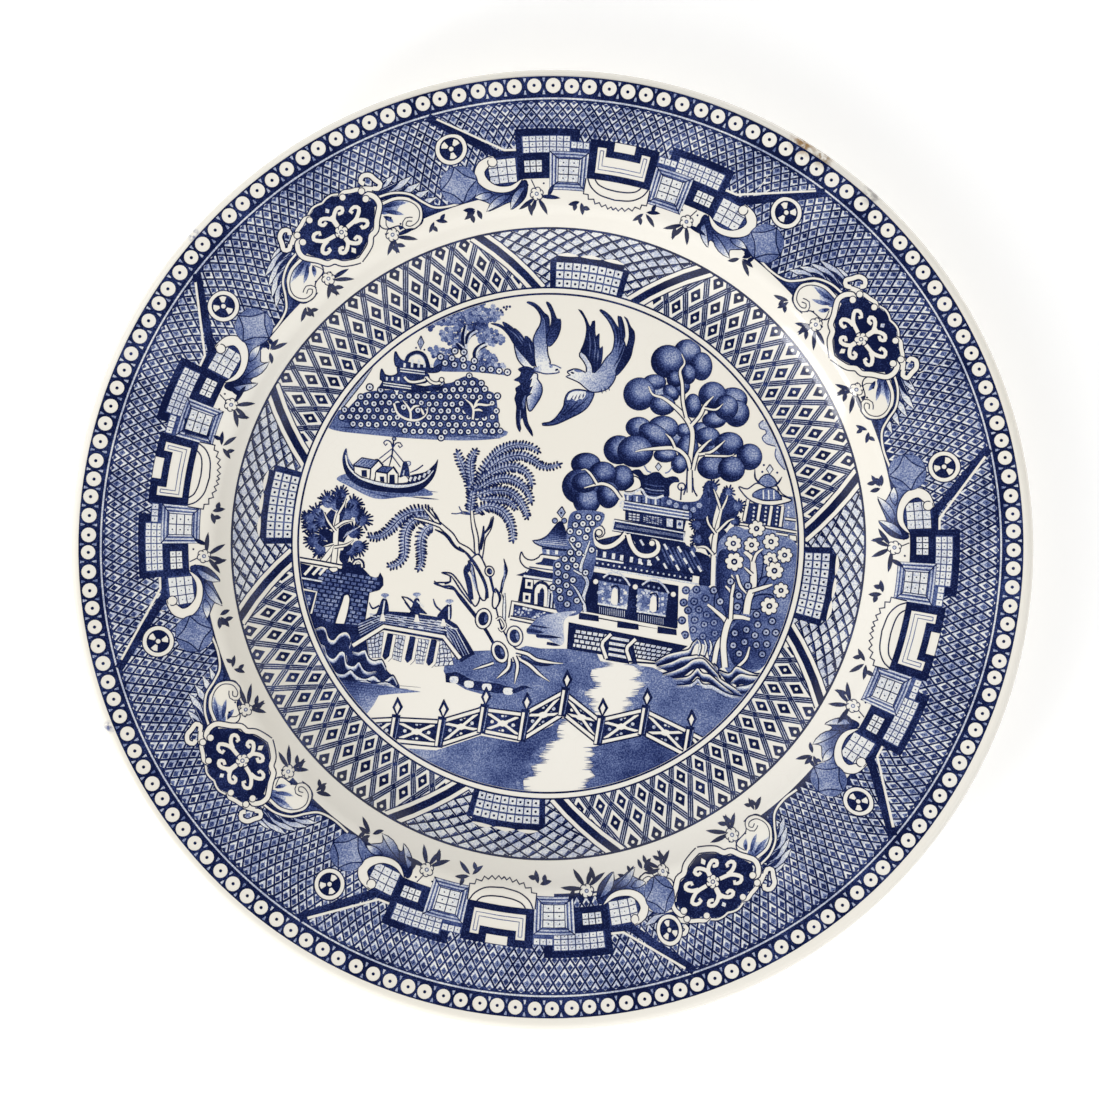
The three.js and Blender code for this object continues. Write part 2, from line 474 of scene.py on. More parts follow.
# %% The medallion
def draw_medallion(pen):
    """Drawn with u to the left of the middle; the same on all four sides of the rim."""
    def mirrored(action):
        for side in (1, -1):
            pen.frame = round_rim(centre, side)
            action()
    centre = pen.centre

    def acanthus():
        for root, tip, wide, bend in (((6.5, 105), (10.6, 106.1), 1.9, -.5),
                ((6.6, 104.2), (12.9, 104.0), 2.2, -.9), ((7.5, 102.8), (13.7, 101.6), 2.2, -1.0),
                ((9, 101.2), (14.6, 98.9), 2.2, -1.1), ((10.2, 99.2), (15.4, 96.4), 2.0, -1.0)):
            pen.leaf(root, tip, wide, pen.fade(root, tip, 0.5, 0.0), bend, 0.26, 0.98)
            inner = [a + (b - a) * 0.72 for a, b in zip(root, tip)]
            pen.leaf(root, inner, wide * 0.5, 0.95, bend * 0.75)
        pen.fill([(6.6, 103.2), (9.5, 102.2), (12, 99.8), (14, 95.6), (15.8, 93.6), (13, 94), (10.5, 99),
            (7, 100.6)], pen.fade((6.6, 102), (14, 95), 1.0, 0.75))
        pen.fill([(6.9, 101.5), (9.4, 100.6), (11.6, 98.0), (12.4, 94.5), (11.6, 91.6), (9.3, 91.6),
            (8.2, 93.6), (6, 94.6), (5.6, 97)], 0.0, 0.3)
        pen.fill([(6.9, 101.3), (9.2, 100.4), (11.1, 98), (9.6, 98.2), (8.6, 97.2), (7.4, 97.8),
            (6.5, 98.6)], pen.fade((7, 101.4), (8.6, 96.8), 0.95, 0.1))
        for root, tip in (((7.2, 99.8), (10.8, 98.2)), ((7, 98.8), (9.6, 95.6)),
                ((6.6, 97.8), (7.6, 95))):
            pen.leaf(root, tip, 1.1, pen.fade(root, tip, 1.0, 0.3), 0.2)
        pen.band([(7, 102.9), (9.4, 102), (11.6, 99.8), (13, 96.6), (14.6, 94), (17.4, 93.0),
            (20.4, 93.4)], 0.55, 0.24)
        pen.band([(6.9, 100.9), (9.6, 100.3), (11.6, 98), (12.3, 94.9), (11.4, 92.2), (9.7, 91.7),
            (8.9, 93), (9.6, 94.2), (10.5, 93.6)], 0.75, 0.24)
        pen.line([(11.3, 99.2), (12.5, 96), (12, 92.6), (10.6, 91.1), (8.9, 91.4)], 0.26)

    def outer_scrolls():
        pen.fill([(5.4, 107.6), (6.4, 106.9), (7.6, 105.2), (6.8, 104.4), (5.9, 105.6), (5.2, 106.4)],
            0.0, 0.26)
        pen.band([(6.3, 107.6), (6.0, 108.6), (6.6, 109.6), (7.5, 108.9), (7.9, 107.2), (8.3, 105.6),
            (7.7, 104.8), (7.1, 105.6)], 1.15, 0.34)

    def frame_top():
        pen.band([(2.5, 107.9), (3.2, 108.5), (4.1, 107.8), (5.1, 107.2), (5.5, 106.5)], 1.0, 0.24)
        pen.ball((2.8, 107.5), 0.8, 0.2)
        pen.ball((5.5, 106.3), 0.8, 0.2)

    rim_of_dark = [(0, 108.9), (1.2, 109.3), (2.6, 108.2), (3.2, 107.4), (4.7, 106.7), (5.3, 105.3),
        (5.2, 104.2), (6.1, 102.6), (6.0, 100.6), (5.3, 98.8), (4.6, 96.9), (3.2, 95.7), (2.5, 94.3),
        (1.2, 93.1), (0, 92.5)]
    frame = [(0, 91.4), (1.3, 92.1), (2.7, 93.3), (3.5, 95.0), (4.6, 95.6), (5.5, 97.8), (6.2, 99.2),
        (6.9, 101.0), (6.8, 103.1), (6.1, 104.7), (5.4, 104.4)]
    mirrored(acanthus)
    mirrored(outer_scrolls)
    pen.frame = round_rim(centre)
    pen.fill(rim_of_dark + [(-u, v) for u, v in rim_of_dark[-2:0:-1]], 1.0)
    mirrored(lambda: pen.line([(-0.1, 109.1), (0.7, 109.7), (1.6, 109.7), (2.5, 108.9)], 0.95, 1.0))
    mirrored(lambda: pen.line([(0, 109.2), (0.7, 109.6), (1.6, 109.6), (2.5, 108.8)], 0.5, 0.0))
    mirrored(frame_top)
    mirrored(lambda: pen.line(frame, 1.85, 1.0))
    mirrored(lambda: pen.line(frame, 1.25, 0.0))
    mirrored(lambda: pen.ball((5.5, 104.0), 0.85, 0.22))

    def cross_side():
        for curl in (((1.1, 100.4), (2.6, 100.7), (3.4, 101.5), (4.0, 102.8), (3.5, 103.8), (2.7, 103.4),
                (2.9, 102.6)), ((2.4, 100.4), (3.4, 100), (4.1, 98.9), (3.8, 97.9), (3.0, 98.0),
                (3.0, 98.8)), ((0, 103.8), (0.6, 105.2), (1.4, 105.9), (1.95, 105.2), (1.6, 104.3),
                (1.0, 104.6)), ((0, 97.2), (0.5, 96.1), (1.3, 95.3), (1.9, 95.9), (1.6, 96.9),
                (1.0, 96.6))):
            pen.line(curl, 1.05, 0.0, 1, 0.8)
    mirrored(cross_side)
    pen.frame = round_rim(centre)
    pen.line([(0, 98.6), (0, 96.4)], 1.2, 0.0)
    pen.line([(0, 101), (0, 105.2)], 1.3, 0.0, 0.7, 1)
    pen.cut([(0, 107.6), (0.35, 106.8), (0, 106.1), (-0.35, 106.8)], 0.1)
    pen.cut([(0, 95.4), (0.45, 94.5), (0, 93.4), (-0.45, 94.5)], 0.0)
    for k in range(6):
        pen.ball((0.52 * math.cos(k * math.pi / 3) * 1.15, 100.2 + 1.05 * math.sin(k * math.pi / 3)),
            0.66, 0.22)
    pen.dot((0, 100.2), 1.0, 0.0, 12)
    pen.dot((0, 100.2), 0.6, 0.75, 12)
    pen.dot((0, 100.2), 0.36, 0.0, 10)


# %% [markdown]
# ### The frets
# The group of frets is drawn as one half too: a slanting bar, a basket of dotted cells on
# acanthus, the key fret, a bevelled panel, half of the middle block and half of the fan.

# %% Frets, panels and fan
def dotted_cells(pen, left, right, top, bottom, columns, rows, cell_dot=0.17, gap=0.14):
    """Small pale squares in a grid, each with a dot; u runs from left to right edge in degrees."""
    for i in range(columns):
        for j in range(rows):
            u0, u1 = (left + (right - left) * (i + s) / columns for s in (0, 1))
            v0, v1 = (bottom + (top - bottom) * (j + s) / rows for s in (0, 1))
            du, dv = math.copysign(gap / 1.8, right - left), gap
            pen.cut([(u0 + du, v0 + dv), (u1 - du, v0 + dv), (u1 - du, v1 - dv), (u0 + du, v1 - dv)],
                0.04)
            pen.dot(((u0 + u1) / 2, (v0 + v1) / 2), cell_dot, 1.0, 6)


def box(pen, left, right, top, bottom, tone):
    """A rectangle in the pen's frame, cut along u so that it bends with the rim."""
    cuts = max(1, round(abs(right - left) / 1.5))
    for k in range(cuts):
        a, b = (left + (right - left) * (k + s) / cuts for s in (0, 1))
        pen.cut([(a, bottom), (b, bottom), (b, top), (a, top)], tone)


def draw_fret_side(pen):
    """One half of the fret group, u growing away from its middle."""
    # the slanting bar with its pale line
    pen.rule([(26.6, 118.6), (18.4, 103.0), (15.4, 102.9)], 2.3, 0.97)
    pen.rule([(25.6, 117.4), (17.5, 104.2), (15.8, 104.0)], 0.62, 0.0)
    # acanthus under the basket
    pen.fill([(14.6, 95.8), (14.9, 91.5), (17.4, 88.6), (17.4, 90.6), (21.4, 89.0), (21.0, 90.8),
        (22.9, 93.2), (22.6, 96.4), (22.3, 99.4), (20.5, 102), (19, 98), (17, 95)],
        pen.fade((18, 94.6), (20.5, 89.4), 0.95, 0.3), 0.26)
    pen.leaf((14.8, 94.5), (17.6, 88.6), 1.7, pen.fade((14.8, 94.5), (17.4, 89.4), 0.75, 0.0), -0.6, 0.26)
    pen.leaf((17.0, 92.6), (21.8, 89.0), 1.9, pen.fade((17, 92.6), (21, 89.4), 0.9, 0.0), -0.5, 0.26)
    pen.leaf((20.0, 93.2), (23.2, 93.4), 1.9, pen.fade((20, 93.2), (22.6, 93.4), 0.8, 0.0), 0.3, 0.26)
    # basket of dotted cells held by a white scroll
    pen.fill([(15.9, 102), (20.4, 102), (21.6, 99.6), (20.8, 95.8), (18.4, 94.2), (15.6, 95.6)], 0.85)
    dotted_cells(pen, 16.0, 20.3, 102.0, 95.6, 3, 3)
    pen.fill([(19.2, 103.1), (21.4, 102.2), (22.5, 99.4), (22.0, 96.2), (20.4, 94.0), (18.2, 93.1),
        (16.4, 93.9), (15.2, 96.4), (17.2, 94.9), (19.3, 95.3), (20.6, 97.2), (20.9, 99.2),
        (20.2, 100.4)], 0.0, 0.28)
    pen.ball((19.5, 101.5), 1.15, 0.26)
    pen.line([(20.6, 101.2), (20.2, 102.3), (19.2, 102.6)], 0.3, 0.0)
    # the key fret and its cells
    box(pen, 15.8, 4.9, 104.4, 102.4, 0.97)
    box(pen, 15.8, 6.6, 109.3, 107.4, 0.97)
    box(pen, 15.8, 14.85, 109.3, 96.2, 0.97)
    box(pen, 7.8, 6.6, 109.3, 106.1, 0.97)
    box(pen, 14.9, 7.8, 107.5, 102.9, 0.7)
    box(pen, 8, 5.0, 106.1, 103.4, 0.7)
    dotted_cells(pen, 14.8, 7.9, 107.4, 102.9, 7, 3)
    dotted_cells(pen, 7.8, 5.1, 106.0, 104.2, 3, 1)
    box(pen, 15.8, 10.9, 102.7, 96.2, 0.99)
    dotted_cells(pen, 14.8, 12.0, 101.1, 97.8, 3, 2)
    # the bevelled panel
    box(pen, 10.9, 5.0, 103.4, 93.2, 0.8)
    for k, tone in enumerate((0.25, 0.7, 0.3, 0.75, 0.4)):
        du, dv = 0.26 * k, 0.42 * k
        box(pen, 10.75 - du, 5.15 + du, 103.2 - dv, 93.4 + dv, tone)
        for side in (10.75 - du, 5.15 + du):
            pen.rule([(side, 103.2 - dv), (side, 93.4 + dv)], 0.26, 0.1 + 0.6 * (k % 2))
    for u, v, inner_u, inner_v in ((10.9, 103.4, 9.5, 101.3), (5, 103.4, 6.4, 101.3),
            (10.9, 93.2, 9.5, 95.4), (5, 93.2, 6.4, 95.4)):
        pen.rule([(u, v), (inner_u, inner_v)], 0.3, 0.95)
    box(pen, 9.6, 6.3, 101.5, 95.2, 0.95)
    dotted_cells(pen, 9.55, 6.35, 101.4, 95.3, 2, 3, 0.22)
    # half of the block in the middle
    box(pen, 5.0, 0, 107.1, 96.7, 0.98)
    box(pen, 1.5, 0, 106.9, 104.6, 0.02)
    box(pen, 3.85, 2.6, 105.1, 98.4, 0.03)
    box(pen, 3.85, 0, 102.8, 98.4, 0.03)
    for inset in (0.0, 1.0):
        pen.rule([(0, 99.4 + inset), (3.45 - 0.5 * inset, 99.4 + inset), (3.45 - 0.5 * inset, 104.3)],
            0.22, 0.55)
    pen.rule([(3.45, 104.3), (2.95, 104.3)], 0.22, 0.55)
    # half of the fan, with its scalloped hem
    pen.cut([(0, 96.7), (5.2, 96.7), (5.3, 92.6), (4.2, 91.4), (2, 90.2), (0, 89.8)], 0.0)
    pen.line([(4.85, 96.7), (4.2, 94.6), (2.6, 92.8), (0, 92.1)], 0.34)
    pen.line([(3.7, 96.7), (3.1, 95.5), (1.8, 94.7), (0, 94.4)], 0.34)
    pen.rule([(5.15, 96.7), (5.3, 92.6), (4.5, 92.5), (4.4, 91.3), (3.5, 91.5), (3.2, 90.3), (2.5, 90.8),
        (2.0, 89.8), (1.4, 90.5), (0.9, 89.5), (0.4, 90.2), (0, 89.5)], 0.36)


# %% [markdown]
# ### Coins, roundels and sprigs
# Round motifs must stay round, so they are turned with the rim and not bent with it. Between the
# groups hang small flowers on sprigs of pointed leaves.

# %% Coins, roundels, flowers and sprigs
def draw_coin(pen, u, v, radius=4.8):
    """A tinted disc with four lens shapes round a paler square."""
    pen.dot((u, v), radius + 0.2, 0.95, 28)
    pen.dot((u, v), radius - 0.1, 0.45, 28)
    home = pen.frame
    middle = home(u, v)
    lean = cmath.phase(middle)
    for k in range(4):
        way = cmath.rect(1, lean + k * math.pi / 2)
        pen.frame = lambda x, y: middle + way * complex(x, y)
        bow = [(0.08, radius * 0.98), (radius * 0.42, radius * 0.42), (radius * 0.98, 0.08)]
        pen.fill(bow + [(radius * 0.74, radius * 0.74)], 0.55)
        pen.line(bow, 0.34, 0.95)
    pen.frame = home


def draw_roundel(pen, u, v):
    """A white ring round a dark disc with three white wedges and a hub."""
    pen.dot((u, v), 4.35, 1.0, 28)
    pen.dot((u, v), 4.05, 0.0, 28)
    pen.dot((u, v), 3.05, 1.0, 24)
    home = pen.frame
    middle = home(u, v)
    lean = cmath.phase(middle)
    for turn in (50, -50, 180):
        way = cmath.rect(1, lean + turn * DEGREE)
        pen.frame = lambda x, y: middle + way * complex(x, y)
        pen.cut([(1.0, -0.35), (2.4, -0.95), (2.7, 0), (2.4, 0.95), (1.0, 0.35)], 0.0)
    pen.frame = home
    pen.dot((u, v), 0.95, 1.0, 12)
    pen.dot((u, v), 0.62, 0.0, 12)


def draw_flower(pen, u, v, radius=1.5, petals=6):
    """A small open flower seen from the front."""
    home = pen.frame
    middle = home(u, v)
    for k in range(petals):
        spot = middle + cmath.rect(radius * 0.62, 2 * math.pi * k / petals + 0.3)
        pen.frame = plain
        pen.ball((spot.real, spot.imag), radius * 0.42, 0.24)
    pen.frame = home
    pen.dot((u, v), radius * 0.72, 0.0, 12)
    pen.dot((u, v), radius * 0.34, 0.7, 8)
    pen.dot((u, v), radius * 0.2, 0.1, 8)


def sprig(pen, root, tips, width=1.6):
    """Leaves from one root: the first two tips get a side leaf as well."""
    home = pen.frame
    a = home(*root)
    pen.frame = plain
    for k, tip in enumerate(tips):
        b = home(*tip) - a
        for start, end in ((0.1, 0.95), (0.45, cmath.rect(0.85, 0.7)))[:2 if k < 2 else 1]:
            c, d = a + start * b, a + end * b
            pen.leaf((c.real, c.imag), (d.real, d.imag), width * 0.66, 1.0, 0.12)
    pen.frame = home


def draw_fret_sprigs(pen):
    """Flowers and leaves that hang below the frets, u growing to the left of the middle."""
    for u, side in ((13.0, 1), (-12.4, -1)):
        pen.line([(u + side * 0.8, 96), (u, 93)], 0.26)
        sprig(pen, (u, 91.6), ((u - 4.2, 91.0), (u + 3.4, 88.2), (u - 1.9, 86.4), (u + 1.4, 86.6)), 1.75)
        draw_flower(pen, u, 92.2, 1.6)
        pen.dot((u + 1.4, 94.6), 0.26)
        pen.dot((u - 1.2, 94.9), 0.26)
    sprig(pen, (5.6, 90.6), ((7.8, 89.4), (5.0, 86.8)), 1.8)
    sprig(pen, (-5.3, 90.8), ((-8.0, 91.8), (-3.6, 87.7), (-7.8, 87.7)), 1.6)
    sprig(pen, (23.3, 90.3), ((25.6, 91.0), (25.8, 88.4), (22.8, 87.2)), 1.8)
    sprig(pen, (-23.3, 90.6), ((-24.6, 93.0), (-26.0, 90.6), (-26.4, 88.0), (-21.6, 88.0)), 1.65)


def draw_medallion_sprigs(pen):
    """Flowers and leaves that hang below the medallion."""
    for u, side in ((6.05, 1), (-6.6, -1)):
        pen.line([(u + side * 0.4, 97.4), (u - side * 0.2, 95.4), (u, 94)], 0.22)
        sprig(pen, (u, 91.8), ((u + 2.5, 88.2), (u + 0.9, 87.2), (u - 3.6, 88.0), (u - 3.9, 91.2)), 1.65)
        draw_flower(pen, u, 92.4, 1.6)
        pen.dot((u + side * 0.9, 96.5), 0.3)
        pen.dot((u - side * 0.9, 93.4), 0.26)
        pen.dot((u + side * 1.9, 93.9), 0.26)
    sprig(pen, (11.8, 91.0), ((13.9, 89.3), (12.4, 87.2), (14.6, 88.9)), 1.6)
    sprig(pen, (-13.7, 91.0), ((-12.1, 88.4), (-15.8, 89.2)), 1.6)


# %% [markdown]
# ### How the tissue lay
# A damp tissue never lies quite true. The table says, at angles round the plate, how far the sheet
# was drawn outward and along the rim; between two rows the shift changes evenly.

# %% The whole rim
# degrees, then millimetres outward and along
STRETCH = ((0, -0.5, 0.2), (11, -0.7, 0), (34, -1.3, 0.5), (45, -0.2, 0.7), (56, 0.9, 0.8),
    (68, 0.95, 0.5), (90, 1.15, -0.2), (101, 1.2, -0.7), (113, 0.3, -0.4), (124, -0.5, -0.1),
    (158, 0.2, -0.4), (180, -0.45, -0.1), (214, -0.7, 0), (247, 0.4, -1), (259, 0, 0), (270, 0.6, 1),
    (281, 0.8, 2.4), (290, -0.2, -0.4), (304, -0.85, 0.6), (315, -0.6, -1.2), (326, -0.5, -3.4),
    (338, -0.7, -3.4), (349, -0.7, -1.2), (360, -0.5, 0.2))


STRIP_SCALE = 0.9967       # the tissue shrank this much as it dried
STRIP_RISE = 0.45j         # and was laid this far up from the middle
SHEET_SHIFT = complex(-0.3, 0.5)       # how far the bead line then slid
INSIDE_SHIFT = complex(-0.45, 0.85)    # and how much more the sheet inside it


def laid(spot):
    """Where a point of the strip ends up once the damp tissue is smoothed down by hand."""
    angle = cmath.phase(spot) / DEGREE % 360
    for (a, *low), (b, *high) in zip(STRETCH, STRETCH[1:]):
        if angle <= b:
            share = (angle - a) / (b - a)
            break
    out, along = (p + (q - p) * share for p, q in zip(low, high))
    grip = min(1, max(0, (118 - abs(spot)) / 8))
    return spot + SHEET_SHIFT + grip * (INSIDE_SHIFT + complex(out, along) * spot / abs(spot))


def draw_rim(pen, rng):
    """The whole rim border, drawn true and then moved to where the tissue ended up."""
    draw_net(pen, rng)
    draw_beads(pen, rng)
    for centre in MEDALLIONS:
        pen.centre = centre
        draw_medallion(pen)
        pen.frame = round_rim(centre)
        draw_medallion_sprigs(pen)
    for centre in FRETS:
        for side in (1, -1):
            pen.frame = round_rim(centre, side)
            draw_fret_side(pen)
            draw_coin(pen, 25.1, 97.6)
            draw_roundel(pen, 24.9, 107.2)
        pen.frame = round_rim(centre)
        draw_fret_sprigs(pen)
    pen.shapes = moved(pen.shapes, lambda spot: laid(spot * STRIP_SCALE + STRIP_RISE))


# %% [markdown]
# ## The border of the well
# Up the hollow runs a narrower strip: a lattice of three-line bands with a dark lozenge in every
# mesh, broken four times by a folded cloth between two slanting bars, with a block of dotted
# squares in its middle. It is drawn in degrees and radius too. The lattice runs on
# under the cloth, and bare rings laid over both edges trim it, as a knife trims the tissue.

# %% Lattice
LATTICE_ROWS = (66.6, 71.9, 77.0, 82.9, 88.6)
LATTICE_PITCH = 4.615
PANELS = (81.9, 171.8, 261.4, 351.5)
PANEL_FOOT = 68.5          # radius where a cloth begins
PANEL_HALF = 10.6          # half its width there, in degrees
PANEL_FLARE = 0.66         # degrees it widens with every millimetre outward


def draw_lattice(pen, start, count):
    """Bands crossing in every row, and lozenges between the crossings."""
    half = LATTICE_PITCH / 2
    for k in range(-4, count + 4):
        for side in (1, -1):
            pen.frame = round_rim(start + k * LATTICE_PITCH, side)
            way = [((j - 2) * half, r) for j, r in enumerate(LATTICE_ROWS)]
            pen.rule(way, 1.6, 0.26)
            for shift in (-0.44, 0.0, 0.44):
                pen.rule([(u + shift, v) for u, v in way], 0.37, 0.98)
    for k in range(-4, count + 4):
        for j, radius in enumerate(LATTICE_ROWS[:4]):
            pen.frame = round_rim(start + (k + 0.5 * (j % 2)) * LATTICE_PITCH)
            low, high = radius - 0.75, radius + 0.75
            pen.cut([(0.5, radius), (0, high), (-0.5, radius), (0, low)], 0.9)
            pen.frame = round_rim(start + (k + 0.5 + 0.5 * (j % 2)) * LATTICE_PITCH)
            pen.cut([(1.6, radius), (0, radius + 3.3), (-1.6, radius), (0, radius - 3.2)], 0.0)
            pen.cut([(1.08, radius), (0, radius + 2.25), (-1.08, radius), (0, radius - 2.2)], 0.97)
            pen.dot((0, radius), 0.46, 0.0, 10)


# %% [markdown]
# ### The folded cloths
# A cloth widens outward, so its folds are laid in rows, and a row is as long as the cloth is wide
# at that radius. Every second row is shifted by half a fold.

# %% Folded cloth panels
def draw_folds(pen, rng):
    """Rows of small folds, each a pale face and a shaded one."""
    centre = pen.centre
    pen.frame = round_rim(centre)
    for k in range(-15, 15):
        reach = PANEL_HALF + PANEL_FLARE * 15.6
        near, far = k * reach / 15, (k + 1) * reach / 15
        low = max(PANEL_FOOT, PANEL_FOOT + (max(abs(k),
            abs(k + 1)) * reach / 15 - PANEL_HALF) / PANEL_FLARE)
        pen.cut([(near, low), (far, low), (far, 84.4), (near, 84.4)], 0.0)
    for row in range(12):
        radius = 83.8 - 1.36 * row
        for k in range(-7, 8):
            u = (k + 0.5 * (row % 2)) * 3.3
            if abs(u) > 10.3 + (radius - PANEL_FOOT) * PANEL_FLARE:
                continue
            pen.frame = round_rim(centre + u + rng.uniform(-0.12, 0.12))
            pen.cut([(1.7, radius), (0, radius + 1.45), (-1.7, radius), (0, radius - 1.45)], 1.0)
            pen.cut([(1.36, radius), (0, radius + 1.1), (-1.36, radius), (0, radius - 1.1)], 0.1)
            pen.cut([(1.35, radius + 0.05), (0.1, radius + 1.12), (-0.45, radius + 0.6),
                (0.45, radius + 0.3), (0.75, radius - 0.35)], rng.uniform(0.7, 0.95))
            pen.cut([(0.35, radius + 0.62), (-0.1, radius + 0.9), (-0.35, radius + 0.62),
                (0.1, radius + 0.4)], 0.15)


def draw_panel(pen, rng):
    """Cloth, its two slanting bars, and the block of dotted squares."""
    draw_folds(pen, rng)
    for side in (1, -1):
        pen.frame = round_rim(pen.centre, side)
        slant = [(10.9 + PANEL_FLARE * (r - PANEL_FOOT), r) for r in (67.8, 72, 76, 80, 85)]
        for width, tone in ((4.7, 0.9), (4.05, 0.0), (1.95, 0.97)):
            pen.rule(slant, width, tone)
    pen.frame = round_rim(pen.centre)
    box(pen, 8.1, -8.1, 76.0, 68.4, 0.94)
    box(pen, 6.9, -6.9, 77.3, 75.0, 0.94)
    for u in (-4.6, 0, 4.6):
        pen.fill([(u - 2.1, 77.2), (u, 76.9), (u + 2.1, 77.2), (u, 77.9)], 0.0)
    box(pen, 6.9, -6.9, 75.4, 68.7, 0.72)
    dotted_cells(pen, 6.9, -6.9, 75.5, 68.6, 8, 3, 0.36, 0.24)


def draw_well_border(pen, rng):
    """Lattice all round, four cloths over it, and the trimming rings."""
    for quarter in range(4):
        draw_lattice(pen, 20.6 + 90 * quarter, 7)
    for centre in PANELS:
        pen.centre = centre
        draw_panel(pen, rng)
    pen.frame = plain
    for inner, outer, tone in ((84.0, 84.55, 0.97), (84.55, 91, 0.0), (68.3, 68.75, 0.95),
            (67.1, 68.3, 0.0), (66.6, 67.1, 0.92), (58, 66.6, 0.0)):
        ring_band(pen, inner, outer, tone)


# %% [markdown]
# ## The garden scene
# The middle of the plate holds a garden by a river, seen from above. The engraver uses a small
# set of marks again and again: ring cells for blossom, short double strokes for willow, round
# balls shaded to one side, bricks, hatching and ragged washes. Each mark is a function here, and
# every building, tree or bird is a few outlines dressed with those marks.

# %% The engraver's marks
def inside(spot, outline):
    """Whether a spot lies inside an outline: a ray from it crosses the outline an odd number of times."""
    hits = 0
    for a, b in zip(outline, outline[1:] + outline[:1]):
        if (a.imag > spot.imag) != (b.imag > spot.imag):
            hits += spot.real < a.real + (b.real - a.real) * (spot.imag - a.imag) / (b.imag - a.imag)
    return hits % 2 == 1


def oval(pen, centre, across, up, turn=0.0, tone=1.0, sides=16):
    """An oval by its two half widths, turned in degrees."""
    home, spin = pen.frame(*centre), cmath.rect(1, turn * DEGREE)
    ring = [cmath.rect(1, 2 * math.pi * k / sides) for k in range(sides)]
    pen.lay([home + spin * complex(across * p.real, up * p.imag) for p in ring], tone)


def ball(pen, centre, across, up, turn=0.0, pale=0.42, light=55):
    """A round clump of leaves, shaded away from the light in nested rings."""
    across, up = across * 1.07, up * 1.07
    home, spin = pen.frame(*centre), cmath.rect(1, turn * DEGREE)
    glow = cmath.rect(0.34, (light - turn) * DEGREE)

    def tone(spot):
        local = (spot - home) / spin
        depth = abs(complex(local.real / across, local.imag / up) - glow)
        share = min(1, max(0, (depth - 0.25) / 0.85))
        return pale + (0.98 - pale) * share * share * (3 - 2 * share)
    oval(pen, centre, across + 0.16, up + 0.16, turn, 1.0, 26)
    for share in (1, 0.85, 0.68, 0.5, 0.3, 0.12):
        oval(pen, centre, across * share, up * share, turn, tone, 22)


def cell(pen, spot, radius=1.05, core=0.28, ring=0.12):
    """A ring cell: a dark ring, a pale one inside, and a dark heart."""
    pen.dot(spot, radius, 1.0, 12)
    pen.dot(spot, radius * 0.66, ring, 12)
    pen.dot(spot, core, 0.9, 7)


def cell_field(pen, points, pitch, rng, radius=1.0, tone=0.75):
    """Ring cells in staggered rows inside an outline."""
    outline = curve(pen.on(points), closed=True)
    middle = sum(outline) / len(outline)
    pen.lay([middle + (p - middle) * 0.97 for p in outline], tone)
    low = min(p.imag for p in outline)
    for row in range(int((max(p.imag for p in outline) - low) / (pitch * 0.87)) + 1):
        x = min(p.real for p in outline) + (row % 2) * pitch / 2
        while x < max(p.real for p in outline):
            spot = complex(x + rng.uniform(-0.2, 0.2), low + row * pitch * 0.87 + rng.uniform(-0.2, 0.2))
            if inside(spot, outline):
                cell(pen, (spot.real, spot.imag), radius * rng.uniform(0.92, 1.08))
            x += pitch


def stroke(pen, root, tip, width, near=0.5):
    """One short brush mark, from a near tone at its root to full ink at its tip."""
    way = (tip - root) / abs(tip - root)
    side = 0.5j * width * way

    def tone(spot):
        share = ((spot - root) * way.conjugate()).real / abs(tip - root)
        return near + (1 - near) * min(1, max(0, share * 1.4))
    pen.lay([root - side * 0.5, root + (tip - root) * 0.6 - side, tip - side * 0.75,
        tip + 0.25 * width * way, tip + side * 0.75, root + (tip - root) * 0.6 + side, root + side * 0.5],
        tone)


def spray(pen, points, reach, rng, width=0.6, step=0.84, lean=72, core=0.3, taper=0.45):
    """A feathery twig: brush marks on both sides of a spine, with a pale band between them."""
    path = curve(pen.on(points), step=step)
    pen.ribbon(path, reach * 1.5, core, 0.4, 0.3)
    pen.ribbon(path, 0.34, 0.85, 0.6, 0.3)
    for k, (a, b) in enumerate(zip(path, path[1:])):
        way = (b - a) / abs(b - a)
        length = reach * 1.12 * (1 - taper * (k / len(path)) ** 2)
        for side, shift in ((1, 0.0), (-1, 0.5)):
            turn = cmath.rect(1, side * (lean + rng.uniform(-8, 8)) * DEGREE)
            root = a + (b - a) * shift
            stroke(pen, root + way * turn * 0.25, root + way * turn * length * rng.uniform(0.9, 1.1),
                width, 0.6)
    stroke(pen, path[-2], path[-1] + (path[-1] - path[-2]) * 0.6, width)


def fan(pen, centre, reach, first, last, count, rng, width=0.5, hub=0.4, core=0.6):
    """Leaves spread round a point like fingers."""
    home = pen.frame(*centre)
    pen.dot(centre, reach * 0.6, core, 12)
    for k in range(count):
        way = cmath.rect(1, (first + (last - first) * k / (count - 1) + rng.uniform(-5, 5)) * DEGREE)
        stroke(pen, home + way * reach * hub * 0.4, home + way * reach * rng.uniform(0.82, 1.12), width,
            core)


def across(corners, u, v):
    """A point in a four-cornered patch, u along its first side and v along its second."""
    a, b, c, d = (complex(*corner) for corner in corners)
    spot = a * (1 - u) * (1 - v) + b * u * (1 - v) + c * u * v + d * (1 - u) * v
    return spot.real, spot.imag


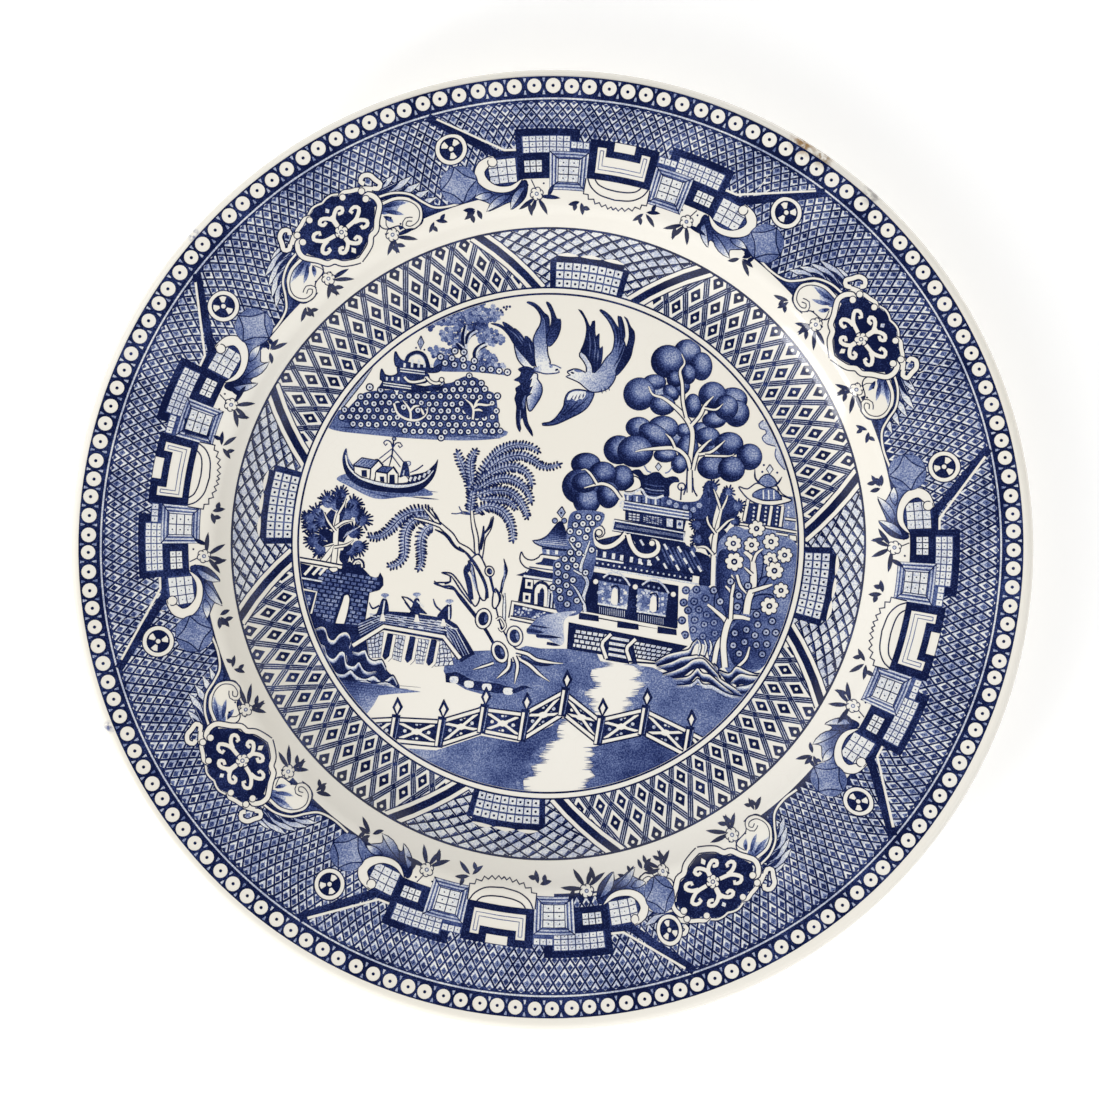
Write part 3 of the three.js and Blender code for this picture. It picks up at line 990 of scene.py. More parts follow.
def bricks(pen, corners, columns, rows, tone, gap=0.12, bond=True):
    """Courses of bricks in a four-cornered patch, first side along a course."""
    for row in range(rows):
        shift = -0.5 * (row % 2) if bond else 0
        for k in range(columns + (1 if shift else 0)):
            u0, u1 = max(0, (k + shift + gap) / columns), min(1, (k + 1 + shift - gap) / columns)
            v0, v1 = (row + gap * 1.5) / rows, (row + 1 - gap * 1.5) / rows
            if u1 - u0 > 0.3 / columns:
                brick = [across(corners, *uv) for uv in ((u0, v0), (u1, v0), (u1, v1), (u0, v1))]
                pen.cut(brick, tone)


def hatch(pen, corners, count, width, tone):
    """Lines across a four-cornered patch, along its first side."""
    for k in range(count):
        v = (k + 0.5) / count
        pen.rule([across(corners, 0, v), across(corners, 1, v)], width, tone, 0.6, 0.6)


def speckle(pen, points, count, rng, low=0.0, high=0.3, size=0.42, base=0.7):
    """A wash with small pale spots in it."""
    outline = pen.on(points)
    pen.lay(outline, base)
    for _ in range(count):
        spot = complex(rng.uniform(min(p.real for p in outline), max(p.real for p in outline)),
            rng.uniform(min(p.imag for p in outline), max(p.imag for p in outline)))
        if inside(spot, outline):
            pen.dot((spot.real, spot.imag), size * rng.uniform(0.6, 1.2), rng.uniform(low, high), 6)


def bar(pen, points, width, edge=0.34, tone=0.0):
    """A straight-cornered pale band with inked edges."""
    pen.rule(points, width + 2 * edge, 1.0)
    pen.rule(points, width, tone)


def dabs(pen, points, pitch, rng, radius=0.6, low=0.3, high=0.7):
    """Soft foliage: small round dabs side by side, some darker, spilling over the outline."""
    outline = curve(pen.on(points), closed=True)
    y = min(p.imag for p in outline)
    while y < max(p.imag for p in outline):
        x = min(p.real for p in outline) + rng.uniform(0, pitch)
        while x < max(p.real for p in outline):
            spot = complex(x, y + rng.uniform(-0.3, 0.3))
            if inside(spot, outline):
                pen.dot((spot.real, spot.imag), radius * rng.uniform(0.75, 1.2), rng.uniform(low, high),
                    7)
            x += pitch * rng.uniform(0.75, 1.1)
        y += pitch * 0.8


def crazed(pen, corners, columns, rows, rng, tone=0.05):
    """Crazy paving: a jittered grid of pale stones with dark joints."""
    pen.cut(corners, 0.9)
    knots = [[across(corners, (i + (rng.uniform(-0.3, 0.3) if 0 < i < columns else 0)) / columns,
                     (j + (rng.uniform(-0.3, 0.3) if 0 < j < rows else 0)) / rows)
              for i in range(columns + 1)] for j in range(rows + 1)]
    for j in range(rows):
        for i in range(columns):
            stone = [complex(*spot) for spot in (knots[j][i], knots[j][i + 1], knots[j + 1][i + 1],
                knots[j + 1][i])]
            middle = sum(stone) / 4
            pen.lay([middle + (spot - middle) * 0.76 for spot in stone], tone + rng.uniform(0, 0.15))


def blossom(pen, centre, radius, petals=7, turn=0.3):
    """A white flower with round petals, a dark outline and a ring in the middle."""
    home = pen.frame(*centre)
    count = petals * 8
    for grow, tone in ((0.34, 1.0), (0.0, 0.0)):
        ring = []
        for k in range(count):
            swell = radius * (0.74 + 0.28 * abs(math.cos(petals * math.pi * k / count)) ** 0.7) + grow
            ring.append(home + cmath.rect(swell, 2 * math.pi * k / count + turn))
        pen.lay(ring, tone)
    pen.dot(centre, radius * 0.36, 0.97, 12)
    pen.dot(centre, radius * 0.15, 0.1, 7)


# %% [markdown]
# ### Far things on the left
# Two swallows in the sky, an island of blossom with a domed temple, and a boat on the river. They
# are laid early, because everything nearer covers them.

# %% Swallows, blossom island and boat
def draw_swallows(pen, _):
    """Two swallows that meet in the air above the garden."""
    pen.frame = plain
    # the left bird: far wing, its pale underside, the raised wings, head and tail
    pen.fill([(-9.4, 53.8), (-9, 51), (-8.2, 49), (-6.6, 47.4), (-4.4, 46.8), (-4.2, 48), (-6, 50.2),
        (-8, 52.4)], pen.fade((-9, 51), (-5, 48.6), 0.35, 0.0), 0.36)
    for wing in ([(-15.7, 58.9), (-13.5, 58.8), (-11.6, 57.6), (-9, 55), (-6.4, 52), (-4.6, 50),
            (-3.6, 47.8), (-4.6, 47.6), (-6.2, 49.4), (-8, 51.4), (-9.8, 53.8), (-11, 55.8), (-13, 57.8)],
            [(-12.6, 59.3), (-10.8, 58.6), (-9, 57), (-6.8, 54), (-6.4, 51.6), (-8.6, 53.6),
            (-10.8, 56.2)], [(-9.4, 57.7), (-7.6, 56.2), (-6.2, 53.8), (-5.6, 51), (-7.4, 52.4),
            (-8.6, 55)], [(-6.6, 55.6), (-5.2, 54.9), (-4.2, 52.8), (-3.9, 50.4), (-3.8, 47.8), (-5, 49),
            (-6.2, 52)]):
        pen.fill(wing, 0.93, 0.12)
    for streak in ([(-11.4, 57.8), (-9, 55.8), (-7.2, 53.4)], [(-8.2, 56), (-7, 54.2)],
            [(-5.4, 54), (-4.8, 51)]):
        pen.line(streak, 0.3, 0.6, 0.2, 0.2)
    pen.fill([(-6.1, 64.6), (-4.6, 64.5), (-3, 63.5), (-1.5, 61.7), (-0.5, 61), (-0.2, 60), (-0.2, 57),
        (-0.6, 53.4), (-0.4, 50.6), (0.2, 48.6), (-0.6, 46.6), (-3.2, 46.9), (-4, 49.6), (-4.1, 52.4),
        (-4.4, 54.6), (-3.6, 56.8), (-2.6, 58.6), (-2.3, 60.4), (-2.9, 62), (-4.2, 63.5)],
        pen.fade((-1, 47.5), (-1.6, 57), 0.0, 0.62), 0.36)
    pen.fill([(-6.1, 64.7), (-4.4, 64.5), (-2.8, 63.4), (-1.4, 61.6), (-0.3, 60.8), (-0.3, 57),
        (-0.7, 53.4), (-1.1, 56), (-1.3, 59.6), (-2.4, 61.4), (-3.8, 63.2), (-5.6, 64.1)], 0.92)
    pen.line([(-2.4, 61.8), (-1.8, 59.4), (-1.7, 56.4)], 0.26, 0.8, 1, 0.2)
    pen.fill([(-0.9, 64.7), (0.2, 64), (1.2, 61.8), (1.9, 60.2), (2.8, 60.1), (2.9, 58), (2.3, 55.8),
        (1.2, 54), (0, 52.9), (-0.8, 53.6), (-0.6, 55.8), (0, 57.6), (0.5, 59.6), (0.3, 61.8),
        (-0.5, 63.6)], pen.fade((0, 53), (1.4, 58.5), 0.7, 0.98), 0.3)
    pen.fill([(-0.6, 49), (0, 48.1), (1.4, 47.9), (3.1, 47.1), (2.3, 46.8), (2.7, 46), (1, 45.7),
        (-1, 45.6), (-2.6, 45.9), (-4.4, 46.8), (-3, 47.6), (-1.8, 48.6)],
        pen.fade((-4, 47), (-2, 47), 0.6, 0.0))
    pen.line([(-0.2, 48.6), (0.1, 48.1), (1.4, 47.9), (3.1, 47.1)], 0.3, 0.7)
    pen.line([(-4.4, 46.4), (-2.4, 45.9), (-1, 45.6), (1, 45.7), (2.6, 46), (2.4, 46.5)], 0.36, 0.85)
    pen.dot((0.4, 47.6), 0.5, 0.5, 8)
    oval(pen, (1.9, 46.7), 0.5, 0.28, 25)
    pen.fill([(-3.2, 45.6), (-3.2, 44.2), (-2.2, 42.8), (-1.9, 41.2), (-2.4, 39.4), (-3.6, 37.4),
        (-5.2, 35.6), (-6, 38), (-6, 43), (-4.8, 45.6)], pen.fade((-4.8, 42), (-2, 41), 0.0, 0.7), 0.36)
    pen.fill([(-4, 46.6), (-6.4, 47.6), (-8.4, 46.8), (-7.6, 46), (-7.9, 45), (-9.5, 43.9), (-8.2, 43.5),
        (-7.7, 42.8), (-9.1, 41.7), (-8.8, 40.6), (-9.3, 39), (-8.8, 37), (-8.9, 34), (-8.6, 31.4),
        (-7.8, 30), (-7.5, 31), (-7.9, 33.2), (-7.2, 33.8), (-6.6, 32), (-5.6, 30.4), (-4.4, 28.9),
        (-4.6, 30.4), (-5.6, 32.4), (-6, 34.4), (-6.2, 36.4), (-6.2, 39), (-4.6, 40.4), (-5.2, 40.4),
        (-4.4, 42.4), (-5.2, 42), (-4.6, 44.4), (-5.2, 44)], 0.95, 0.1)
    pen.line([(-6.9, 36.4), (-6.8, 38.4), (-6.4, 39.8)], 0.7, 0.5, 0.3, 0.3)
    pen.line([(-7.7, 36), (-7.8, 32.4)], 0.24, 0.5)
    # the right bird: dark wing, raised wing, body and tail
    pen.fill([(8, 51.2), (8, 50.3), (9, 49), (9.8, 47.4), (9.9, 45.6), (11.4, 45.4), (11.2, 48), (10, 50),
        (8.8, 51.8)], 0.12, 0.36)
    pen.fill([(7.6, 62.8), (8.5, 62.4), (9.7, 60.4), (10.8, 58.2), (11.3, 59.6), (12, 59.8), (12.1, 57),
        (12.4, 55.6), (13.2, 56.4), (13.2, 53.8), (13.4, 52.4), (14.1, 53), (14.1, 50.8), (13.8, 48.6),
        (12.8, 46.8), (11.6, 45.4), (11.1, 48.4), (10.2, 50), (8.9, 51), (8.2, 51.6), (9, 53.6),
        (9.6, 56), (9.7, 58.4), (9, 60.6)], 0.95, 0.12)
    for streak in ([(10.6, 50), (10.8, 54), (10.5, 57)], [(11.8, 49), (12.2, 52.6), (11.8, 55.6)],
            [(12.8, 49), (13, 52)]):
        pen.line(streak, 0.3, 0.55, 0.2, 0.2)
    pen.fill([(19.8, 60.9), (20.6, 60.4), (21.6, 58.2), (22.5, 57), (22.7, 55), (22.2, 52.4), (21.6, 50),
        (20, 47.4), (18, 45.2), (16.8, 45.4), (17.8, 48), (19.4, 51), (20.6, 53.4), (21.1, 56),
        (20.7, 59)], 0.96, 0.1)
    pen.fill([(13.3, 62.6), (14.6, 62.2), (16.4, 60.6), (17.8, 58.4), (18.5, 57.8), (18.2, 61),
        (19, 60.7), (19.8, 58), (20, 55.6), (19.7, 54.6), (20.2, 53), (19.4, 50.4), (18, 47.4),
        (16.8, 45.2), (13, 44.4), (11.6, 45.4), (13.4, 47.4), (15, 49.8), (16.6, 51.6), (17.2, 53.8),
        (17.2, 56), (16.4, 58.4), (15.2, 60.4)], pen.fade((13, 45), (19, 58), 0.35, 0.78), 0.36)
    for feather in ([(13.4, 62.5), (15.4, 61.3), (17.2, 58.8), (18.2, 55.6), (17.8, 52.4)],
            [(18.6, 61), (19.3, 58.4), (19.5, 55.4), (19, 52.6)], [(19.8, 53.4), (18.6, 50), (17, 47.4)],
            [(18.5, 57.6), (18.9, 54.6), (18.2, 51)]):
        pen.line(feather, 0.5, 0.95, 1, 0.2)
    pen.fill([(4.7, 46.1), (6, 46.8), (7.4, 46.9), (9, 46.3), (10.6, 45.5), (13, 45.6), (16, 46.6),
        (17.6, 45.4), (17, 43.4), (15.4, 41.6), (13, 40.8), (11, 40.9), (9.4, 42), (8, 43.2), (6.4, 44),
        (4.4, 44.9), (5.6, 45.3)], pen.fade((8, 45), (15, 43.4), 0.04, 0.5), 0.34)
    pen.fill([(9.6, 46), (13, 45.8), (16, 47), (17.6, 46), (16, 43), (12, 43.4)],
        pen.fade((10, 45), (16, 44), 0.1, 0.5))
    pen.fill([(6.4, 46.6), (7.6, 46.8), (8.8, 46.2), (7.6, 46)], 0.6)
    oval(pen, (6.1, 45.9), 0.5, 0.26, -20)
    pen.line([(4.7, 46.2), (6.2, 46.8)], 0.4)
    for x in (13.8, 14.8, 15.7):
        pen.line([(x, 41.6 + 0.3 * (x - 13.8)), (x + 0.3, 40.4 + 0.4 * (x - 13.8))], 0.34, 0.9, 1, 0.3)
    pen.fill([(11.8, 40.7), (10.9, 40.8), (9, 41.3), (6.8, 41.4), (5, 40.6), (4.2, 39.2), (3.8, 37),
        (3, 35.6), (1.6, 33.8), (0, 32.7), (-1.9, 32.4), (-1.7, 31.9), (0.4, 31.9), (2.4, 32.4),
        (5.4, 33.8), (8.2, 35.2), (10, 36.6), (11.2, 38.4), (11.9, 40.2)],
        pen.fade((9.5, 38.5), (4, 34.4), 0.62, 0.85), 0.36)
    pen.fill([(9.6, 40.9), (6.8, 41), (5.2, 40.2), (4.7, 38.6), (6.2, 39), (7, 38.4), (8, 39),
        (8.8, 38.8), (9.6, 39.8)], 0.06)
    for k in range(4):
        pen.line([(5.6 + 1.1 * k, 38.4 + 0.3 * k), (6.4 + 0.95 * k, 39.9 + 0.2 * k)], 0.32, 0.9, 1, 0.3)
    for streak in ([(10.4, 39.6), (8.6, 37.6), (5, 35), (0, 32.4)], [(7.6, 38.4), (5.6, 36.2), (3, 34.2)],
            [(5.2, 38), (4.4, 36.2), (2.6, 34.2)]):
        pen.line(streak, 0.42, 0.97, 0.4, 0.2)


def draw_island(pen, rng):
    """The far island: a soft tree, banks of blossom and a domed temple."""
    pen.frame = plain
    # a soft tree behind, its clumps and its pale trunks
    for clump in ([(-32.4, 58.8), (-27.5, 61.3), (-22, 63), (-17.5, 64.4), (-16.6, 62), (-15, 64),
            (-12.6, 61.5), (-13.2, 60), (-16.5, 59.4), (-15.4, 57.8), (-12.5, 55.5), (-12, 53.8),
            (-14.6, 53.2), (-17.5, 52.8), (-19, 54.5), (-21, 57), (-24, 57.6), (-29, 58.4), (-31.6, 57)],
            [(-28.8, 57), (-25, 57.8), (-22.8, 56), (-23, 53.5), (-24.5, 51.5), (-26.5, 53),
            (-28.6, 54.6)], [(-18.4, 52.2), (-15.6, 51), (-13.6, 49.4), (-12, 47.6), (-14, 46.6),
            (-18.6, 47.6)], [(-32, 52), (-30.4, 52.6), (-28, 52), (-25, 51.6), (-28, 49.6), (-31, 50)]):
        dabs(pen, clump, 0.95, rng, 0.62, 0.3, 0.72)
    for spot in ((-13, 62.4), (-12.2, 63.2), (-11.4, 63.4), (-10.6, 63.4), (-11.6, 62.7), (-12.6, 61.9)):
        pen.dot(spot, 0.34, 0.8)
    for path, width in (([(-22, 58.6), (-22.4, 56), (-22.2, 53), (-21.8, 48.6)], 0.7),
            ([(-21.8, 53.6), (-21, 55.8), (-19.2, 57)], 0.6),
            ([(-24.4, 53.8), (-23, 52.6), (-22, 51)], 0.45),
            ([(-19.2, 48), (-19.3, 51), (-18.4, 52.6), (-16.4, 53.6)], 0.6)):
        pen.line([(x - 0.5, y - 0.2) for x, y in path], width + 0.9, 1.0, 0.3, 1)
        pen.line(path, width, 0.1, 0.3, 1)
    # the far bank, the shore wash and the near bank, all of blossom
    pen.fill([(-30, 49.6), (-26, 50), (-20, 48.6), (-12, 46), (-11.4, 45.2), (-20, 46), (-30, 46.4)], 0.6)
    for start, end, count in (((-29, 50), (-20, 49), 4), ((-27.8, 48.4), (-17.8, 46.8), 5),
            ((-25.2, 51.6), (-22.8, 51.3), 2), ((-15.6, 46.7), (-11.2, 46), 3)):
        for k in range(count):
            share = k / (count - 1)
            cell(pen, (start[0] + (end[0] - start[0]) * share, start[1] + (end[1] - start[1]) * share))
    pen.fill([(-60, 33.5), (-57.8, 30.6), (-47, 29.2), (-35, 28.2), (-22, 27.8), (-12.8, 28.6), (-13, 31),
        (-35, 34), (-54, 36)], pen.fade((-59, 32), (-13, 29), 0.6, 0.5))
    for k in range(14):
        x = rng.uniform(-58, -24)
        pen.line([(x, 31.4 - 0.07 * (x + 58)), (x + 12, 30.6 - 0.07 * (x + 58))], 0.3,
            rng.uniform(0.7, 0.9), 0.1, 0.1)
    pen.band([(-55.5, 36.5), (-52.4, 40.4), (-48.8, 45), (-46.6, 48)], 0.7, 0.3, 0.3, 1, 0.3)
    cell_field(pen, [(-56.4, 33.4), (-52.6, 38), (-50, 40.4), (-46, 41.2), (-38, 41.6), (-30, 43),
        (-26, 43.4), (-22, 45.2), (-18.6, 44.4), (-17, 41.8), (-14, 40.2), (-13.2, 36), (-12.8, 31),
        (-13.4, 28.8), (-19, 29.4), (-26, 28.4), (-32, 28.8), (-38, 29.8), (-47, 31), (-54, 32.2)], 2.12,
        rng)
    cell(pen, (-47.8, 41.9), 1.1)
    for spots, size in (([(-42, 37), (-40, 34.4), (-38, 33.2), (-33, 33.4), (-33.4, 36.6), (-36, 37.6),
            (-39, 38)], 0.9), ([(-23, 36), (-20, 33.6), (-15.4, 35), (-17, 38.4), (-22, 38.6)], 0.9)):
        pen.fill(spots, size)
    cell(pen, (-38.8, 36.6))
    cell(pen, (-35, 35.8))
    cell(pen, (-36.4, 38.2))
    for path in ([(-41.4, 37.6), (-40.4, 35), (-38.4, 33.6), (-36, 33.1), (-34, 33.6), (-32.6, 35),
            (-32.4, 36.6)], [(-36.9, 33.4), (-37, 35.4), (-38, 37.2), (-39, 38.4)],
            [(-37, 35.6), (-36, 36.8), (-34.6, 37)], [(-33.4, 34.6), (-34.2, 36.4)],
            [(-20.4, 33.4), (-20.2, 35.8), (-20.8, 37.4), (-22.4, 38.8)],
            [(-20.3, 36.4), (-19, 37.4), (-16.6, 37.2), (-15, 37.6)],
            [(-19.9, 37), (-19.2, 38.4), (-18.6, 38.8)], [(-20.2, 35.8), (-18.8, 36), (-17.8, 35.6)]):
        pen.line(path, 0.62, 0.0, 0.9, 0.35)
    # temple: lower storey with its roof tips, then the drum with its own, the dome and the finial
    pen.cut([(-44.4, 43.6), (-40, 43.4), (-33, 42.2), (-27.8, 42.2), (-28.6, 41), (-36, 40.6),
        (-45.6, 41.6)], 0.95)
    pen.fill([(-44.6, 46.8), (-43.8, 45.3), (-42, 44.9), (-40.4, 45.6), (-40, 47.4), (-33.4, 46),
        (-32, 44.6), (-33, 43.2), (-38, 42.8), (-44.2, 43.4), (-45, 44.8)], 0.85, 0.34)
    for x in (-43.3, -41.8, -40.2):
        pen.rule([(x, 43.7), (x + 0.1, 44.6)], 0.5, 0.08)
    for y in (43.15, 42.5):
        pen.rule([(-44.2, y), (-36.8, y - 1)], 0.3, 0.08)
    pen.rule([(-40.6, 41), (-40.6, 39.9)], 0.6, 0.05)
    pen.band([(-38.6, 44.7), (-37.6, 43.6), (-35.8, 43.3), (-33.2, 43.9), (-32.8, 44.7)], 0.62, 0.2)
    pen.band([(-32.8, 44.7), (-31.6, 43.4), (-30.2, 42.9), (-28.9, 43.2)], 0.62, 0.26)
    pen.ball((-28.7, 43.9), 0.5, 0.3)
    pen.fill([(-41, 51.4), (-40, 49.8), (-38.4, 48.7), (-33, 47.6), (-31, 47), (-28.9, 48.2),
        (-29.3, 46.2), (-32.6, 45.9), (-39.8, 47), (-41.2, 48.6)], 0.85, 0.34)
    for x, tall in ((-38.6, 1.1), (-36.6, 2.2), (-34.8, 2.2), (-33.3, 1.2), (-31.4, 0.8)):
        pen.rule([(x, 47.2), (x + 0.1, 47.2 + tall)], 0.62, 0.08)
    for y in (46.9, 46.2):
        pen.rule([(-39.7, y), (-33.2, y - 0.8)], 0.3, 0.08)
    pen.line([(-38.2, 48.6), (-37.4, 50.3), (-35.3, 51.2), (-33.4, 50.4), (-32.5, 48.4), (-32.2, 47.2)],
        1.05, 0.97)
    pen.line([(-37, 50), (-35.3, 50.7), (-33.8, 50), (-33.2, 48.8)], 0.22, 0.3)
    pen.cut([(-34.2, 55.6), (-33.4, 53.8), (-34.3, 51.9), (-35.1, 53.8)], 0.3, 0.26)
    pen.rule([(-34.2, 55.2), (-34.2, 52.4)], 0.2, 0.8)
    pen.dot((-35.5, 52.4), 0.26, 0.9)
    pen.dot((-33.3, 51.9), 0.26, 0.9)


def draw_boat(pen, rng):
    pen.frame = plain
    pen.fill([(-56.6, 17.4), (-53.6, 18.8), (-50, 16.4), (-45, 14.8), (-38, 14.2), (-34, 15.2),
        (-31, 13.2), (-38, 12.8), (-45, 12.1), (-49, 13.2), (-53, 15.4)], 0.5)
    for k in range(16):
        x, y = rng.uniform(-57, -36), rng.uniform(12.4, 14.6)
        lift = max(0, (-44 - x) * 0.33)
        pen.line([(x, y + lift), (x + rng.uniform(5, 8), y - 0.6 + lift * 0.4)], 0.34,
            rng.uniform(0.35, 0.8), 0.1, 0.1)
    # hull, gunwale and the slats of the stern
    pen.fill([(-54, 25.7), (-54.9, 24), (-55, 21.6), (-54, 18.6), (-51.5, 16), (-48, 14.6), (-44, 14),
        (-38, 13.7), (-34.6, 14.3), (-32, 16.3), (-30.3, 19), (-29.6, 22.8), (-30.4, 21.6), (-33, 19.4),
        (-37, 18.4), (-39, 16.4), (-46, 16.8), (-50, 18.4), (-52.2, 21), (-53.6, 23.4)], 0.97)
    pen.line([(-54.2, 23.8), (-53.5, 20.8), (-51, 18.2), (-48, 16.9), (-44, 15.9), (-40, 15.5), (-36, 16),
        (-33, 17.3), (-30.8, 19.8)], 0.8, 0.04, 0.4, 0.3)
    pen.line([(-54.1, 24.6), (-52.9, 21.4), (-51, 19.2)], 0.34, 0.5, 0.5, 0.5)
    for x, y, tall in ((-37.2, 16.9, 1.1), (-36, 17, 1.1), (-34.8, 17.3, 1.1), (-33.5, 17.9, 1.1),
            (-32.3, 18.9, 1)):
        pen.rule([(x, y), (x + 0.5, y + tall)], 0.6, 0.06)
    pen.fill([(-41, 16.4), (-40, 18.2), (-38, 18.2), (-37.6, 16.6)], 0.0, 0.2)
    # two cabins, each with a side wall, a gable and a tiled roof
    for wall in ([(-52, 20.9), (-47.6, 20.1), (-47.8, 17.4), (-50, 17.9), (-51.9, 19.2)],
            [(-47.5, 20.2), (-45.4, 22.3), (-44.4, 21), (-46, 19.4), (-46.6, 17), (-47.7, 17.3)],
            [(-46.2, 19.4), (-43.2, 18.9), (-43.2, 16.3), (-46.4, 16.9)],
            [(-43.1, 19), (-41.4, 20.6), (-40.2, 18.8), (-40.3, 16.2), (-43.1, 16.3)]):
        pen.cut(wall, 0.0, 0.3)
    for door in ([(-50, 19.8), (-48.6, 19.8), (-48.5, 17.9), (-49.9, 18.1)],
            [(-45.1, 18.1), (-44, 18.1), (-43.9, 16.6), (-45, 16.8)],
            [(-42.5, 18.6), (-41.2, 18.6), (-41.1, 16.3), (-42.6, 16.3)]):
        pen.cut(door, 0.97)
    pen.cut([(-52.2, 21.1), (-49.9, 23.1), (-45.6, 22.4), (-47.5, 20.3)], 0.42, 0.36)
    pen.cut([(-46.1, 19.5), (-44.4, 20.9), (-41.6, 20.6), (-43.1, 19.1)], 0.62, 0.36)
    for k in range(5):
        pen.rule([(-51.4 + 0.85 * k, 21.2 - 0.15 * k), (-49.4 + 0.85 * k, 22.8 - 0.15 * k)], 0.2, 0.7)
    pen.rule([(-46.4, 22.5), (-45.6, 22.6), (-44.2, 21.1)], 0.5)
    pen.rule([(-41.6, 20.8), (-40.4, 19)], 0.5)
    # mast with curls, ropes, the boatman and an oar
    pen.line([(-41.3, 28.7), (-41.6, 26.4), (-41.9, 23.6), (-42.6, 20.9)], 0.42, 0.9, 1, 0.6)
    pen.ball((-41.3, 28.2), 0.32, 0.3, 0.3)
    pen.line([(-41.8, 26), (-42.2, 27.3), (-43.3, 27.8), (-44.1, 27.1), (-43.6, 26.4), (-43.1, 26.9)],
        0.34, 0.8)
    pen.line([(-41.5, 26), (-40.8, 27), (-39.7, 27.1), (-39.1, 26.3), (-39.8, 25.8), (-40.2, 26.4)], 0.34,
        0.8)
    for rope in ([(-41.9, 25.5), (-45.2, 22.9)], [(-42, 23.8), (-44.4, 21.8)],
            [(-41.6, 25.4), (-38.8, 22)], [(-41.8, 23.6), (-39.6, 20.6)]):
        pen.rule(rope, 0.28, 0.75)
    pen.ball((-37.5, 21.6), 0.5, 0.22, 0.1, 0.7)
    pen.fill([(-38.8, 22.2), (-38, 22.2), (-37.4, 20.4), (-37.2, 18), (-38.4, 18.4), (-39.8, 17.8),
        (-39.4, 19.8)], 0.88)
    pen.line([(-38.6, 19.8), (-38.9, 18.4)], 0.3, 0.2)
    pen.line([(-37, 19.2), (-35.2, 20), (-33.6, 21.2)], 0.36, 0.85, 0.6, 1)


# %% [markdown]
# ### Far things on the right
# The tall tree is a heap of shaded balls with pale boughs between them. Behind it stand clouds,
# a small pagoda and soft trees, and a bush with large flowers grows at its foot.

# %% Ball tree and far pagoda
BALLS = (((34.6, 42.4), 2.6, 2.2), ((28.6, 40.4), 3.0, 2.0), ((33.4, 28.4), 3.4, 2.0),
    ((44.6, 25.2), 3.6, 2.4), ((46, 35.6), 3.4, 2.6), ((13.6, 15.4), 4.0, 3.6), ((36.4, 47.8), 2.0, 2.6),
    ((40.6, 30.6), 2.2, 2.0), ((36.7, 51.5), 3.3, 3.1), ((40.5, 47.7), 2.6, 3.4), ((37, 45.6), 1.8, 2.4),
    ((31.5, 49), 4.1, 4.0), ((33.4, 44.3), 1.9, 2.0), ((28, 43.5), 2.8, 1.8), ((24, 40.3), 3.9, 4.0),
    ((32.4, 40.7), 2.2, 1.6, -45), ((30.2, 37.4), 3.1, 2.5), ((38.3, 37.2), 2.0, 2.9),
    ((48.9, 38.8), 3.6, 3.0), ((44, 33.4), 2.9, 1.9), ((50, 35.2), 3.1, 3.3), ((43.5, 40), 3.4, 3.3),
    ((47.2, 36.8), 2.9, 3.0), ((36, 30.6), 1.9, 1.7), ((23.8, 31.4), 3.1, 2.5), ((30.3, 31.2), 3.8, 3.0),
    ((28.2, 29.2), 4.3, 2.6, -30), ((37, 25.9), 2.6, 3.3), ((18.6, 25.4), 3.7, 3.5), ((23, 25), 4.4, 3.9),
    ((31, 24), 2.8, 1.7), ((34.7, 21.6), 1.9, 2.2), ((42.3, 29), 3.0, 2.3), ((48, 27), 3.5, 2.9),
    ((53.5, 23.6), 3.1, 3.2), ((43.4, 20.9), 3.5, 3.0), ((48.7, 20.3), 3.3, 3.1), ((9.8, 21.6), 3.6, 2.7),
    ((19.4, 17.9), 2.9, 3.1), ((14.3, 19), 3.4, 2.9), ((8.6, 15.6), 4.7, 4.4), ((10.1, 11.7), 3.3, 3.2),
    ((15.8, 13.4), 2.7, 3.3), ((9.4, 16.6), 3.1, 2.4), )
BOUGHS = (([(37.6, 14), (37.6, 22), (38.2, 28), (38, 31), (36.4, 34), (33.4, 37), (30.4, 39.2),
    (27.6, 40.2), (26.4, 42.4)], 1.1), ([(36.6, 34), (35.7, 38), (35.4, 43), (34.8, 46.4), (36, 48.6),
    (35.2, 51)], 0.75), ([(38, 32), (40.2, 34.6), (41.6, 37.4), (43.8, 39.8)], 0.8),
    ([(41.4, 36.6), (44.4, 36.2), (46.4, 37.8)], 0.5), ([(37.8, 20), (36.6, 23.6), (33.6, 25.8),
    (29, 25.8), (25, 25.4), (23, 24.9)], 0.9), ([(33.6, 26), (32.6, 28.2), (31, 29.8)], 0.6),
    ([(38.4, 20), (39.6, 24.4), (42.4, 27.6), (43.4, 28.2)], 0.8),
    ([(40, 24.2), (43, 24.8), (45, 26.2), (47, 28)], 0.65),
    ([(41.6, 23.9), (48, 23.8), (49.4, 24.4)], 0.5), ([(19.2, 12.4), (17, 15.2), (14.6, 16.3),
    (12.6, 16.1), (9.4, 15.2)], 0.75), ([(12.8, 16.3), (11.2, 18.8), (9.6, 20.2), (8.6, 20)], 0.6), )


def draw_ball_tree(pen, _):
    """The tall tree on the right: shaded balls on pale boughs."""
    pen.frame = plain
    for group in BALLS:
        ball(pen, *group)
    for path, width in BOUGHS:
        pen.band(path, width, 0.3, 0.0, 1, 0.3)
    pen.line([(36.9, 20), (36.7, 16), (36, 13.4)], 0.4)
    pen.line([(38.4, 18), (38.6, 15), (39.6, 13)], 0.4)
    pen.ball((35.4, 15.6), 0.8, 0.36)
    pen.line([(35.4, 15.4), (35.2, 12)], 0.4)


